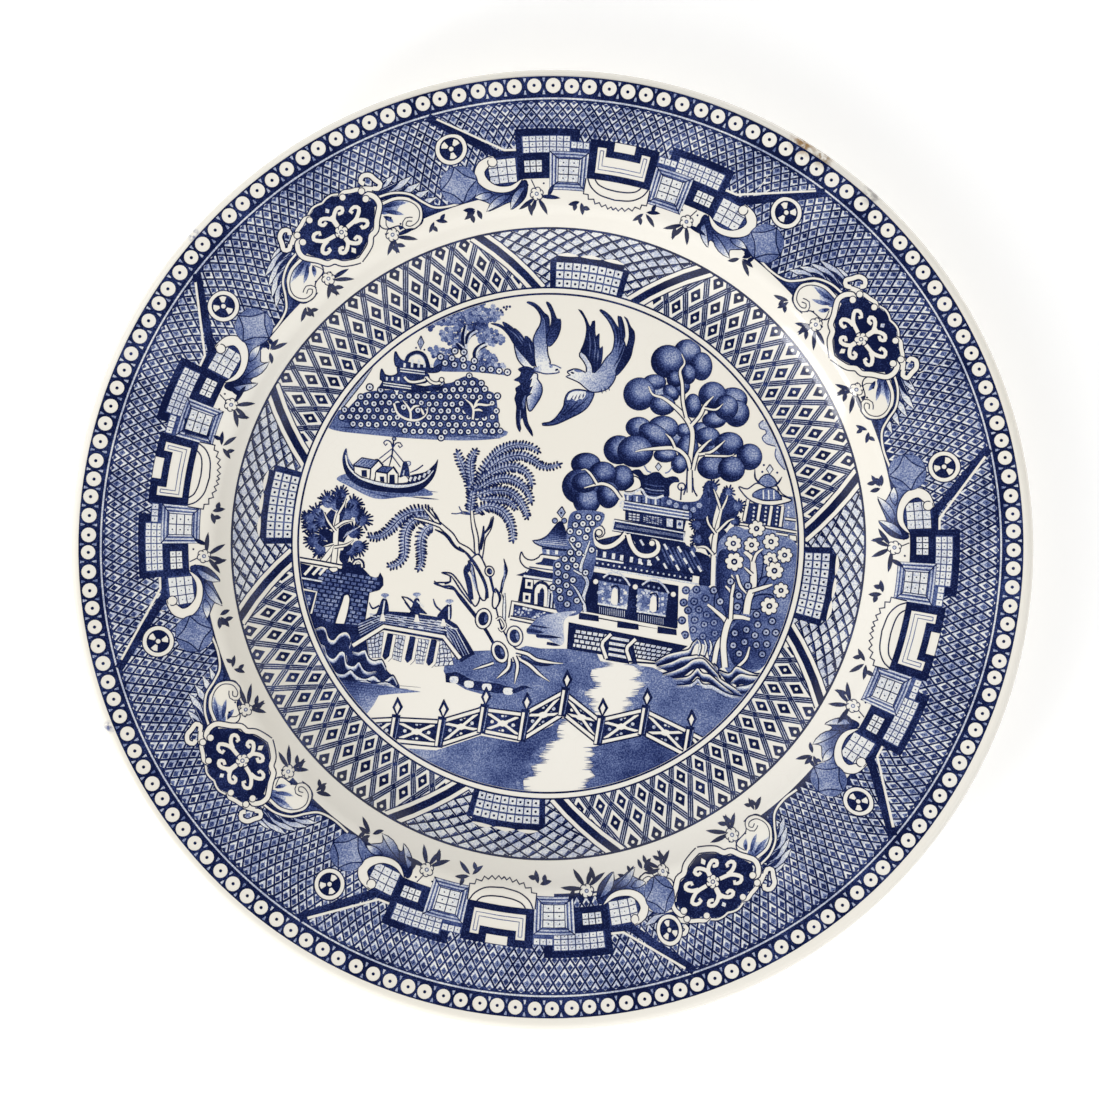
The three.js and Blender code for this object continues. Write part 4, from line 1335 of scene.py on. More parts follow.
def draw_clouds(pen, _):
    """Curled clouds at the right edge."""
    pen.frame = plain
    for path in ([(57.2, 33.4), (56, 32.4), (56.4, 31.2), (57.8, 30.8), (58, 29.9), (56.9, 28.8),
            (58, 27.2), (60.8, 26.4)], [(60.6, 25.8), (60.4, 24), (61.4, 22), (63, 20.2)]):
        pen.fill(path + [(63.5, 20), (59.6, 30)], 0.22)
        pen.line(path, 0.32, 0.75)


def draw_far_pagoda(pen, _):
    """The small pagoda on the far bank."""
    pen.frame = plain
    pen.cut([(62.8, 13), (66, 13), (66, -22), (60, -24), (48, -10), (47, -1), (50, 4), (62.8, 5)], 0.42)
    pen.cut([(59, 21.6), (59.9, 20.3), (59, 19), (58.1, 20.3)], 0.1, 0.3)
    for spot in ((57, 19.6), (61, 19.4), (57.4, 21.4)):
        pen.dot(spot, 0.3, 0.85)
    pen.fill([(56, 16.2), (56.6, 18), (58.5, 19), (60.4, 17.6), (60.8, 16), (58.4, 15.5)], 0.5, 0.35)
    pen.line([(60.4, 16), (61.4, 16.8), (62.3, 18.3)], 0.55, 1, 1, 0.3)
    pen.line([(55, 20.4), (55.1, 18), (56.4, 16.4)], 0.5, 1, 0.3, 1)
    pen.fill([(50.7, 15.6), (53, 15), (55.6, 16.6), (58.4, 15.4), (61, 15.8), (61.6, 13.6), (65, 12),
        (60, 10.6), (56, 11), (53, 12.6)], 0.0, 0.36)
    pen.fill([(54.4, 13.2), (56.4, 14.9), (60, 15.1), (62.2, 12.4), (58, 12)], 0.6, 0.3)
    for x in (57.4, 58.8, 60.2):
        pen.rule([(x, 12.3), (x - 0.1, 14.7)], 0.36, 0.05)
    pen.line([(54.4, 13), (57.8, 11.9), (62.4, 12.2)], 0.3)
    pen.line([(61.2, 15.6), (62.3, 13.8), (65, 12.3)], 0.3)
    pen.cut([(52.6, 11.4), (63.2, 10.4), (62.6, 4.6), (51.8, 6)], 0.9)
    for k, (top, foot) in enumerate((((53.3, 12.2), (52.2, 6.4)), ((56.5, 10.9), (55.8, 6)),
            ((59.6, 10.5), (58.8, 5)), ((62.6, 10.4), (61.9, 4.9)))):
        bar(pen, [top, foot], 0.75, 0.26)
        for j in range(5):
            pen.dot((top[0] + 1.6 - 0.1 * j, 10 - 1.1 * j), 0.32, 0.15, 6)
    for left, right, width in (((49.6, 5.9), (53.6, 5.3), 0.45), ((57.6, 4.9), (66.4, 3.4), 0.5),
            ((63.2, 7.1), (66.2, 6.7), 0.5), ((60.8, 3.1), (64, 2.6), 0.5),
            ((61.8, 1.2), (66.4, 0.3), 0.5)):
        bar(pen, [left, right], width, 0.3)
    pen.cut([(64.3, 2.8), (66.3, 2.5), (66.4, 1), (64.4, 1.3)], 0.0, 0.3)


def draw_right_trees(pen, rng):
    pen.frame = plain
    for lobe in ([(41.4, 16), (43.6, 17), (45, 12), (44, 7), (43.4, 3), (42, 1), (40, -1), (38.8, 2),
            (40, 6), (41, 10)], [(46.4, 15), (48.4, 14), (50.4, 11), (50.8, 8.6), (49, 6.6), (47.4, 4.4),
            (45.6, 4), (46.2, 9)], [(45, 3), (47, 4), (48, 1.6), (47, -1), (45.2, -2.6)],
            [(39, -2), (42, -2.6), (43.4, -4), (43.6, -10), (42, -11.4), (39.6, -10), (38.4, -6)]):
        pen.fill(lobe, 0.9)
    for x, y, size, first, last in ((43.6, 15.4, 2.8, 20, 200), (48, 14.2, 2, -20, 200),
            (50.6, 10.4, 2.4, -70, 110), (42.6, 11.6, 2.2, 90, 260), (49.6, 6.4, 2, -80, 60),
            (39.4, 5.4, 2.4, 70, 250), (39.8, 1.6, 2.4, 90, 270), (38.4, -1.4, 2, 80, 280),
            (41, 8.6, 2.4, 90, 240)):
        fan(pen, (x, y), size * 0.9, first, last, 8, rng, 0.56)
    for path, width in (([(43, 17), (44, 12), (43, 7), (43.6, 3)], 2.0),
            ([(46.4, 14), (46.6, 12), (46, 9.8)], 2.2), ([(48.6, 9), (47.4, 7), (45.6, 3.4)], 2.3),
            ([(41, 4), (42, 1), (43.2, -2.6)], 2.0), ([(47.6, 2), (46, 0), (45, -2.6)], 1.7),
            ([(40, -4), (42, -5.6), (43, -10)], 2.6)):
        pen.line(path, width, 0.9, 0.4, 0.5)
    for path, width in (([(44, -10.8), (44.1, -6), (44.3, 0), (44.9, 4), (45.7, 7.6), (46.2, 9.6)], 1.2),
            ([(44.6, 3), (42.6, 6), (42.2, 9)], 0.5), ([(45.2, 3.6), (48, 6.4), (49.6, 7)], 0.6),
            ([(44, -2.6), (42, -0.6), (39.4, -0.6)], 0.55),
            ([(44.4, -3), (46.6, -1.2), (48.4, -0.4)], 0.55), ([(46, 9.4), (45, 12.4), (44, 15)], 0.55),
            ([(46.3, 9.6), (47.4, 12), (47.8, 13.4)], 0.5)):
        pen.band(path, width, 0.28, 0.0, 1, 0.4)


def draw_flower_bush(pen, rng):
    pen.frame = plain
    pen.fill([(45, -2), (47.4, 3), (50, 5), (55, 3.4), (64, 2), (67, -2), (66.4, -12), (63.6, -20),
        (60, -29), (56, -34), (48, -34), (45, -22)], 0.5)
    pen.fill([(45.2, -3), (47.4, -1), (50, -2), (51.6, -7), (54, -12), (54, -19), (50, -21), (46.6, -20),
        (45, -12)], pen.fade((45, -8), (52, -8), 0.95, 0.55))
    pen.fill([(40, -11), (43.4, -11.6), (46, -16), (46.8, -24), (46.4, -33), (43.6, -32), (42, -27),
        (38.6, -26), (37.4, -20), (37.6, -13)], pen.fade((37, -20), (46, -22), 0.42, 0.7))
    for spot in ((36.8, -12.2), (39.6, -12), (36.2, -15.5), (39, -15.2), (42, -14.4), (37.4, -17.6),
            (40.3, -17.4), (35.8, -20.3), (39.2, -20.2), (42.4, -18.8), (44.4, -20.9), (41.8, -21.4),
            (38.8, -22.8), (36.6, -24.2), (41.4, -24.6), (44.6, -23.8), (44.8, -26.6), (44.4, -29.4)):
        pen.dot(spot, 1.15, 0.8, 12)
        pen.dot(spot, 0.72, 0.42, 12)
        pen.dot(spot, 0.3, 0.95, 7)
    pen.fill([(48, -25), (50, -21.4), (54, -19), (58, -18.4), (63.6, -19.6), (60.4, -28), (57, -33),
        (50.6, -32.8), (48.2, -29)], pen.fade((49, -26), (60, -26), 0.85, 0.55))
    for spot in ((55.8, -18.7), (60, -20.5), (56.1, -21.4), (53.1, -22.8), (50, -23.7), (58.4, -23.5),
            (61, -23.6), (55.4, -24.3), (52.6, -26.1), (49.6, -27), (55.8, -26.9), (58.6, -26.7),
            (51.2, -29.2), (57.4, -29.4)):
        cell(pen, spot, 1.15, 0.3, 0.3)
    for lobe in ([(45.2, -12.4), (46.4, -16), (47.6, -18.8), (45, -19), (44.4, -15)],
            [(50.4, -12), (52.2, -15), (51.6, -18), (49.4, -20.4), (49, -16)],
            [(55.6, -1.8), (57.4, -3), (57, -8.6), (55.6, -8.4)],
            [(57, -9), (59, -8.4), (57.4, -11), (56, -11.4)],
            [(54, -17), (55, -14), (58, -13.2), (60.4, -14), (57, -17)]):
        pen.fill(lobe, 0.62, 0.4)
    for path, width in (([(44.3, -33), (45.4, -27), (47.2, -24), (47.6, -20.6), (44.6, -17.6),
            (42.6, -16)], 1.2), ([(47.4, -33), (47, -26), (48.6, -20), (51.4, -19.4), (54, -20)], 1.5),
            ([(48.8, -20), (49, -16), (49, -13), (47.4, -11)], 0.9),
            ([(49, -14), (49.6, -10), (49, -8)], 0.7), ([(53, -18.6), (53.6, -14.6), (54.8, -11),
            (54.8, -6), (54.4, -3.6), (52.4, -1.8)], 1.7), ([(54.8, -4.6), (55.6, -2.4), (57.4, -1)],
            0.7), ([(54.6, -8), (52.4, -6)], 0.6), ([(54.4, -12.4), (57.6, -11.4), (60, -10.6)], 0.9),
            ([(50.4, -8), (51.4, -11), (53, -13)], 0.7)):
        pen.band(path, width, 0.3, 0.0, 1, 0.5)
    for spot in ((48.7, -9.8), (53.4, -11), (44.3, -12.2), (51, -13.6), (50.6, -16.6), (46, -15.2)):
        cell(pen, spot, 1.2, 0.3, 0.3)
    for x, y, radius in ((59.4, -3.9, 1.9), (55.6, 4.4, 2.1), (49.4, 0.4, 2.1), (54.3, 0, 2),
            (59.5, 0.9, 2.1), (63.2, -2.7, 2), (49.7, -4.5, 2.4), (60.5, -6.9, 2.3), (62.3, -12.2, 2),
            (59.2, -16.4, 2.3)):
        blossom(pen, (x, y), radius, 7, rng.uniform(0, 1))
    pen.band([(50.6, -33), (53, -30.6), (54, -27.4)], 0.7, 0.28, 0.0, 1, 0.5)


# %% [markdown]
# ### The great pagoda
# Roofs with scrolled corners stand over straight bars and dark pillars, and a terrace of blocks,
# brick and steps carries it all. It is laid from the top down to the garden.

# %% The great pagoda
def draw_pagoda(pen, rng):
    pen.frame = plain
    pale = lambda points, width=0.45, smooth=False: pen.line(points, width, 0.05, smooth=smooth)
    slope = -0.16
    # finial and top roof
    pen.cut([(29.2, 22), (30, 20.9), (29.2, 19.8), (28.4, 20.9)], 0.2, 0.28)
    for path in ([(25.4, 21.2), (26.2, 19.8), (27.2, 19.4)], [(33, 21), (32, 19.6), (31, 19.2)]):
        pen.line(path, 0.35, 0.5)
    pen.fill([(21.8, 19.6), (24, 20.2), (25.4, 18.8), (26.6, 18.8), (27.6, 19.4), (29.4, 19.4), (31, 18),
        (33, 18.4), (34.4, 18), (34.8, 16.8), (33.4, 16.7), (32.2, 15.6), (31.6, 12.6), (25, 13.4),
        (24.7, 16.6), (23.6, 18.4)], 0.98)
    for y, tone in ((16.4, 0.7), (15.2, 0.45), (14.4, 0.7)):
        pen.line([(25.6, y), (28, y - 0.6), (30.8, y - 0.7)], 0.3, tone)
    pen.cut([(20, 13.6), (20.6, 11.4), (31, 9.8), (31.2, 13)], 0.6)
    for k in range(8):
        pen.rule([(21 + 1.25 * k, 13.2 - 0.1 * k), (21 + 1.25 * k, 11.6 - 0.2 * k)], 0.5,
            (0.05, 0.9)[k % 2])
    pen.fill([(22.5, 18.4), (24, 17.8), (24.6, 16.4), (24.3, 15.2), (22, 14.3), (20.2, 14.4), (22, 15.8),
        (22.6, 17)], 0.0, 0.3)
    pale([(20, 13.9), (22, 13.6), (24.6, 14.9), (26, 13.1), (28.4, 12.5), (30.6, 13.2)], 0.6, True)
    pen.fill([(31, 13), (33.6, 12), (36.4, 11.5), (40, 12), (42, 15), (42.6, 8), (38, 7), (31, 9.6)],
        0.78)
    for spot in ((32.2, 11.4), (34, 10.6), (36.5, 10), (38.6, 9.4), (40.2, 10.6)):
        pen.dot(spot, 0.75, 0.35, 8)
    # upper storeys between straight roof bars
    pen.cut([(20.4, 10), (36.8, 7), (36, 3.4), (20.4, 6.6)], 0.96)
    bricks(pen, ((21.2, 8.7), (24.4, 8.3), (24.3, 6.2), (21.2, 6.6)), 3, 3, 0.15, 0.14, False)
    bricks(pen, ((25.2, 8.1), (30.4, 7.3), (30.3, 5.2), (25.2, 6.0)), 7, 4, 0.3, 0.14, False)
    pen.rule([(25.2, 8), (30.4, 5.2)], 0.3, 0.9)
    pen.rule([(25.2, 6), (30.4, 7.2)], 0.3, 0.9)
    for x in (31.5, 34.2):
        pen.cut([(x, 7.1 + (x - 31.5) * slope), (x + 1.7, 6.9 + (x - 31.5) * slope),
            (x + 1.6, 4.7 + (x - 31.5) * slope), (x, 4.9 + (x - 31.5) * slope)], 0.1)
    pen.dot((35, 5.6), 0.5, 0.7)
    bar(pen, [(20, 10.6), (37.2, 7.9)], 2.2, 0.36, 0.6)
    pen.ball((37.2, 7.9), 1.1, 0.36, 0.6)
    for y, tone in ((0.95, 0.04), (0.0, 0.15), (-0.95, 0.04)):
        pale([(19.6, 10.7 + y), (37.4, 7.9 + y * 0.9)], 0.36)
    pen.line([(19.8, 11.9), (19, 10.9), (19.4, 9.7)], 0.45, 0.05)
    bar(pen, [(17.2, 5.3), (36.3, 2.0)], 2.6, 0.4, 0.9)
    hatch(pen, ((18, 5.5), (36, 2.6), (36, 1.8), (18, 4.7)), 3, 0.2, 0.4)
    pale([(17.5, 6.5), (36.2, 3.2), (36.1, 0.9), (17, 4.0), (17.5, 6.5)], 0.42)
    # great roof with its scrolls
    pen.cut([(12, 1), (20.4, 3), (36.4, 0.6), (39.6, -4), (42, -8.4), (38.6, -10), (11.8, -5.4),
        (11.6, -2.4)], 0.94)
    for k in range(9):
        x = 29.6 + 1.15 * k
        pen.line([(x, 0.2 - 0.3 * k), (x + 2.6, -5.2 - 0.22 * k)], 0.5, 0.62, 0.5, 0.5)
    for x, y in ((22.5, 0.9), (24.9, 0.6), (31.3, -0.5), (35, -1.2), (33, -3.5), (36.6, -4.3),
            (31.2, -5.7), (34.5, -6.1), (38.1, -6.9), (29, -3.4), (24.6, -4.6), (27, -4.8), (38.6, -2.4),
            (40.4, -6.4)):
        pen.rule([(x - 0.45, y + 0.75), (x + 0.45, y - 0.75)], 0.85, 0.04, 0.7, 0.7)
    for x in (12.6, 15, 17.4, 19.6, 22.2, 24.5, 26.9):
        pale([(x, -1.4 + (x - 12.6) * slope * 1.2), (x - 0.15, -3 + (x - 12.6) * slope * 1.1)], 0.85)
    scroll = [(20.6, 3.1), (19.2, 1.4), (17, -0.2), (14.4, -0.6), (12.2, 0.8), (11.6, 2.8), (12.4, 4.4),
        (13.9, 4.4), (14.4, 3.2), (13.5, 2.4), (12.7, 2.9)]
    other = [(21.2, 2.8), (22, 0.2), (23.6, -2.2), (25.8, -3), (28, -2.6), (29.3, -1.2), (29.1, 0.5),
        (27.7, 1.2), (26.9, 0.4), (27.6, -0.2)]
    for path in (scroll, other):
        pen.band(path, 1.15, 0.4, 0.0, 1, 0.7)
    pen.ball((13.4, 3.2), 0.75, 0.3)
    pen.ball((27.6, 0.4), 0.75, 0.3)
    bar(pen, [(11.6, -4.7), (40.2, -9.3)], 2.2, 0.36, 0.92)
    for k in range(18):
        pen.dot((13 + 1.48 * k, -4.9 - 0.242 * k), 0.3, 0.15, 6)
    pale([(11.4, -3.5), (20, -4.9)], 0.5)
    pale([(11.4, -5.9), (40.2, -10.5)], 0.5)
    pen.cut([(38.6, -8.2), (40.4, -8.5), (40.2, -10.4), (38.4, -10.1)], 0.0)
    pen.cut([(11.2, -3.4), (12.2, -3.6), (12, -5.8), (11.1, -5.6)], 0.0)
    # hall with two arched windows between dark pillars
    pen.cut([(10.4, -7), (34.8, -11), (34.6, -22.4), (9.2, -18.2)], 0.98)
    pen.fill([(10.6, -9), (9.2, -12), (9, -16), (9.4, -18), (13, -18), (13, -9)], 0.98)
    for x, y in ((17.6, -13), (28, -15)):
        speckle(pen, [(x - 4.2, y + 3.4), (x + 4, y + 2), (x + 3.4, y - 4.2), (x - 4.4, y - 2.9)], 60,
            rng, 0.0, 0.35, 0.42, 0.5)
        pen.line([(x - 3, y + 4.2), (x - 1.2, y + 5.4), (x + 1, y + 5.4), (x + 3, y + 3.8),
            (x + 4.2, y + 2)], 0.5, 0.1)
        pen.fill([(x - 2.6, y + 3.4), (x - 0.6, y + 4.7), (x + 1.4, y + 4.3), (x + 2.8, y + 2.8)], 0.95)
        for dx in (-1.2, 0.2, 1.5):
            pen.dot((x + dx, y + 3.7 - 0.2 * dx), 0.35, 0.35, 6)
        pen.line([(x - 0.9, y + 1.5), (x + 0.3, y + 2), (x + 1.2, y + 1.2), (x + 1.2, y - 2.6)], 0.5,
            0.98)
        pen.fill([(x - 0.9, y - 2.6), (x - 0.5, y + 1), (x + 0.1, y + 1.5), (x + 0.8, y + 1),
            (x + 0.8, y - 2.9)], 0.0)
        pale([(x - 4.4, y - 2.8), (x + 3.4, y - 4.1)], 0.5)
        hatch(pen, ((x - 4.2, y - 5.4), (x - 4.2, y - 3.6), (x + 3, y - 4.8), (x + 3, y - 6.5)), 13, 0.28,
            0.25)
    for spot in ((12.6, -9.9), (23.2, -11.3), (33.4, -13.3)):
        pen.dot(spot, 0.7, 0.0, 12)
    bar(pen, [(9.2, -18.3), (34.2, -23)], 0.9, 0.3)
    # terrace: dark blocks, white walk, brick front and steps
    pen.cut([(8.6, -19.2), (35.4, -23.6), (37.4, -27.4), (5.6, -21.6)], 0.0)
    for x, y, wide in ((8.2, -18.2, 5.2), (18.5, -20.4, 5.6), (29.3, -21.9, 5)):
        pen.cut([(x, y), (x + wide, y - 0.17 * wide), (x + wide + 0.1, y - 1.8 - 0.12 * wide),
            (x - 0.1, y - 1.8)], 0.98)
    pen.cut([(5.4, -20.8), (37.4, -27.2), (34, -29.6), (30, -31.6), (5, -27.8)], 0.97)
    bricks(pen, ((7.2, -22.6), (16.6, -24), (15, -29), (6.6, -27.6)), 6, 4, 0.05)
    bricks(pen, ((23.2, -25.8), (33.6, -27.8), (30.2, -31.4), (22, -30.2)), 7, 4, 0.05)
    pen.cut([(14.6, -25.6), (17.4, -23.8), (22.4, -24.8), (24, -32.4), (15.4, -31)], 0.97)
    for k in range(4):
        pale([(16.4 - 0.1 * k, -24.9 - 1.5 * k), (21.6 - 0.1 * k, -25.8 - 1.5 * k)], 0.75)
    for x, y in ((16.8, -24), (23.4, -25.3)):
        bar(pen, [(x, y), (x - 2.2, y - 2.1), (x - 2.4, y - 3.2), (x - 1.2, y - 6.6)], 0.85, 0.34)
    pen.line([(5, -28), (14.6, -29.3)], 0.5)
    pen.line([(21.6, -31.4), (30, -32)], 0.5)


# %% [markdown]
# ### The teahouse
# Walls go down first, then the roofs that overhang them. Blossom made of ring cells fills the gap
# between the houses.

# %% Teahouse and the blossom beside it
CELLS = ((7.8, 7.5), (10.7, 7.3), (13.1, 7.2), (7.1, 5.3), (9.1, 5.6), (11.6, 5.7), (5.7, 3.6),
    (8.1, 3.3), (10.4, 4), (6.4, 1.4), (9.9, 2), (7.9, -0.1), (5.8, -2.1), (8.1, -2.3), (11.5, -1.4),
    (4.3, -3.9), (6.4, -4), (2.5, -5.5), (5, -6.1), (7.3, -5.6), (2.5, -7.6), (4.6, -8.4), (6.5, -9.5),
    (9.9, -7.5), (2.6, -9.9), (4.8, -10.9), (1.1, -11.5), (2.9, -12.3), (5.7, -13), (3.2, -14.4),
    (5, -16), (7.6, -15))


def draw_teahouse(pen, rng):
    pen.frame = plain
    pale = lambda points, width=0.45, smooth=False: pen.line(points, width, 0.05, smooth=smooth)
    pen.cut([(3.5, 10.2), (4.4, 8.6), (3.4, 7.1), (2.2, 8.6)], 0.3, 0.35)
    pen.dot((3.3, 8.5), 0.35, 0.9)
    for x in (1.6, 4.1):
        pen.ball((x, 6.4), 0.55, 0.28, 0.4)
    # walls first, then the roofs that overhang them
    pen.cut([(-7, -8.6), (2.6, -10), (3.4, -17.6), (-8.2, -15.2)], 0.97)
    for x, y in ((-5.2, -10.6), (-5.8, -14.2)):
        pen.cut([(x - 1, y + 1.4), (x + 1.1, y + 1.1), (x + 0.9, y - 1.4), (x - 1.1, y - 1.1)], 0.0)
        pen.cut([(x - 0.4, y + 0.6), (x + 0.5, y + 0.5), (x + 0.4, y - 0.6), (x - 0.5, y - 0.5)], 0.97)
    pen.cut([(-4, -9.4), (2, -10.2), (2, -13), (-3.6, -13)], 0.0)
    pen.line([(-3.9, -16), (-3.6, -12), (-2.4, -10.5), (-1, -10.8), (-0.3, -12.4), (-0.6, -16.8)], 1.5,
        0.97)
    pen.line([(-3.4, -16), (-3.2, -12), (-2.2, -10.9), (-1.2, -11.2), (-0.7, -12.4), (-0.9, -16.8)], 0.85,
        0.0)
    pen.fill([(-2.6, -16.2), (-2.3, -12.2), (-1.7, -11.5), (-1.2, -12.2), (-1.4, -16.6)], 0.98)
    for k, x in enumerate((-0.1, 0.8, 1.7)):
        pale([(x + 0.3, -12), (x - 0.1, -17)], 0.42)
    bar(pen, [(-10, -19.7), (-9.5, -15.6), (2, -18)], 0.9, 0.36)
    pen.cut([(-9, -16.3), (1.6, -18.6), (-0.6, -20.6), (-9.6, -19)], 0.85)
    speckle(pen, [(-8.9, -16.6), (0.6, -18.6), (-1.6, -20.1), (-9.3, -18.8)], 60, rng, 0.05, 0.4, 0.36,
        0.75)
    bar(pen, [(-10.2, -19.6), (-3.8, -20.9)], 0.6, 0.36)
    pen.cut([(-8.7, -8.2), (-6.4, -7.4), (-5.4, -6.2), (2.4, -7.2), (2.4, -9.8), (-6.4, -8.6)], 0.96)
    pale([(-6.7, -8.4), (2, -9.7)], 0.6)
    pale([(-6, -7.3), (-5.2, -6.3)], 0.4)
    pen.fill([(-7.3, -1.9), (-7.7, -4), (-6.6, -5.8), (-4.6, -6.6), (2, -7.6), (3, -3.4), (-1.6, -2.5),
        (-2.6, -3.3), (-4, -4.1), (-5.6, -4), (-6.8, -3)], 0.0, 0.36)
    pen.cut([(-3.6, -5), (-2, -4.6), (-1.4, -3.5), (2.6, -4.2), (2.4, -6), (-3.2, -5.3)], 0.95)
    pen.line([(-5.2, -6), (2, -7)], 0.32, 0.9)
    pen.cut([(-1.9, -0.6), (5, -1.2), (5, -3.4), (-1.6, -2.6)], 0.55)
    for x in (-0.2, 2.1):
        pale([(x, -1.1), (x, -2.6)], 0.8)
    pen.line([(-1.8, -1), (5, -1.6)], 0.4)
    pen.line([(-1.7, -2.6), (3, -3.2)], 0.36)
    pen.fill([(3.1, 6.2), (1.6, 4.8), (-0.4, 2.4), (-2.4, 1.3), (-4.3, 1.0), (-3.8, 0.5), (-2, -0.4),
        (1, -0.9), (5.2, -1.2), (4.8, 2), (4, 4.8)], pen.fade((3, 3.2), (1.5, -0.6), 1.0, 0.5), 0.4)
    for k in range(6):
        pen.line([(-2.6 + 0.5 * k, 0.5 + 0.45 * k), (4.9 - 0.06 * k, -0.2 + 0.5 * k)], 0.2,
            0.15 + 0.12 * k, 0.3, 0.6)
    # blossom between the houses
    pen.fill([(6.4, 8.8), (14.4, 8.6), (14, 5.4), (12, 4), (12, 1), (12.8, -2), (11.8, -8), (10, -12),
        (9.4, -17), (7, -19), (2.6, -18.4), (1, -12.6), (1.2, -8), (1.4, -4.6), (4.6, -2.4), (4.8, 3)],
        0.6)
    for path, width in (([(9.8, -18), (9.4, -14), (10.4, -10), (8.6, -6.6), (9.8, -2.4), (11, 1)], 0.8),
            ([(8.8, -8), (6.6, -6.8)], 0.5), ([(9.6, -16), (7.4, -12), (6, -10.6)], 0.5),
            ([(9.6, -3), (7, -1.2), (5.2, 1.4)], 0.45)):
        pen.band(path, width, 0.26, 0.12, 1, 0.4)
    for spot in CELLS:
        cell(pen, spot, 1.08, 0.28)


# %% [markdown]
# ### The ground
# Washes of middle tone make the banks. Short dry strokes tear their edges along the path, and
# the rocks are pale ledges that shade down into dark faces.

# %% Ground, rocks and river bank
def torn(pen, edge, side, rng, tone=0.55):
    """Dry-brush streaks that leave a torn edge; side 1 reaches right, -1 left."""
    for spot in curve([complex(*point) for point in edge], step=0.42):
        reach = side * rng.uniform(0.2, 2.4)
        pen.rule([(spot.real - side * 1.6, spot.imag), (spot.real + reach,
            spot.imag + rng.uniform(-0.15, 0.15))], 0.46, tone + rng.uniform(-0.12, 0.06), 1, 0.05)


def draw_ground(pen, rng):
    """Washes on both sides of the path, torn along it."""
    pen.frame = plain
    bank_edge = [(14, -31.4), (15.4, -32.4), (11.8, -33.4), (11.2, -35), (12, -36.6), (12.8, -38),
        (9.8, -39.4), (9.8, -40.6), (11.8, -41.8), (10.8, -43), (12.6, -45)]
    pen.cut([(-28, -34), (-27.6, -31.5), (-24, -29.5), (-20, -28.6), (-15, -28.4), (-8, -28), (-6, -27.2),
        (-2, -27.9), (5, -28), (13, -29.3), *bank_edge, (12, -52), (4, -46), (-7, -52), (-18, -50),
        (-19, -44), (-15, -41), (-22, -39), (-27, -36)], pen.fade((-10, -40), (10, -31), 0.6, 0.54))
    torn(pen, bank_edge, 1, rng)
    near_edge = [(4.4, -47), (3, -48.4), (2.4, -50), (2.6, -52), (-0.4, -53.2), (-0.6, -55),
        (-2.6, -56.6), (-1.4, -58.2), (-4.6, -59.6), (-3.6, -61.6), (-6.6, -63.2), (-6.4, -66)]
    pen.cut([(-64, -50), (-42, -54.5), (-30, -55.4), (-18, -51.4), (-8, -53.2), *near_edge, (-20, -70),
        (-50, -60)], pen.fade((-30, -60), (-8, -57), 0.5, 0.7))
    torn(pen, near_edge, 1, rng, 0.62)
    far_edge = [(11.6, -54.6), (12.6, -56.4), (11.2, -57.8), (12.6, -59.2), (11.4, -60.6), (12.8, -62.4),
        (10, -64.6), (11.6, -67)]
    pen.cut([*far_edge, (30, -66), (40, -58), (25, -51), (14, -54)],
        pen.fade((14, -58), (30, -58), 0.6, 0.68))
    torn(pen, far_edge, -1, rng, 0.62)
    right_edge = [(22.4, -32.2), (25.4, -34.4), (23.8, -36), (26.4, -37.6), (24.4, -39), (24, -40.4),
        (21.8, -41.4), (23, -43), (21, -44.4), (21, -46.8)]
    pen.cut([*right_edge, (25.6, -44.4), (37.4, -50.6), (44, -56), (62, -48), (60, -36), (54, -40),
        (45, -39), (34, -36), (28, -33)], pen.fade((24, -36), (42, -46), 0.5, 0.6))
    torn(pen, right_edge, -1, rng, 0.5)


def rocks(pen, layers):
    """Ledges of rock: each a pale wavy lip that shades down into a dark face."""
    for points, drop, shade in layers:
        spots = curve(pen.on(points))
        last = len(spots) - 1
        under = [spots[i] - 1j * drop * min(1, 0.1 + 4 * i / last, 0.1 + 4 * (last - i) / last)
                 for i in range(last, -1, -1)]
        pen.lay(spots + under, 0.97)
        for depth, width, tone in ((1.3, 0.6, 0.72), (1.0, 0.6, 0.45), (0.72, 0.6, 0.2),
                (0.42, 0.6, shade)):
            if depth < drop * 0.8:
                pen.ribbon([p - 1j * depth for p in spots], width, tone, 0.1, 0.1)
        pen.ribbon(spots, 0.36, 1.0)


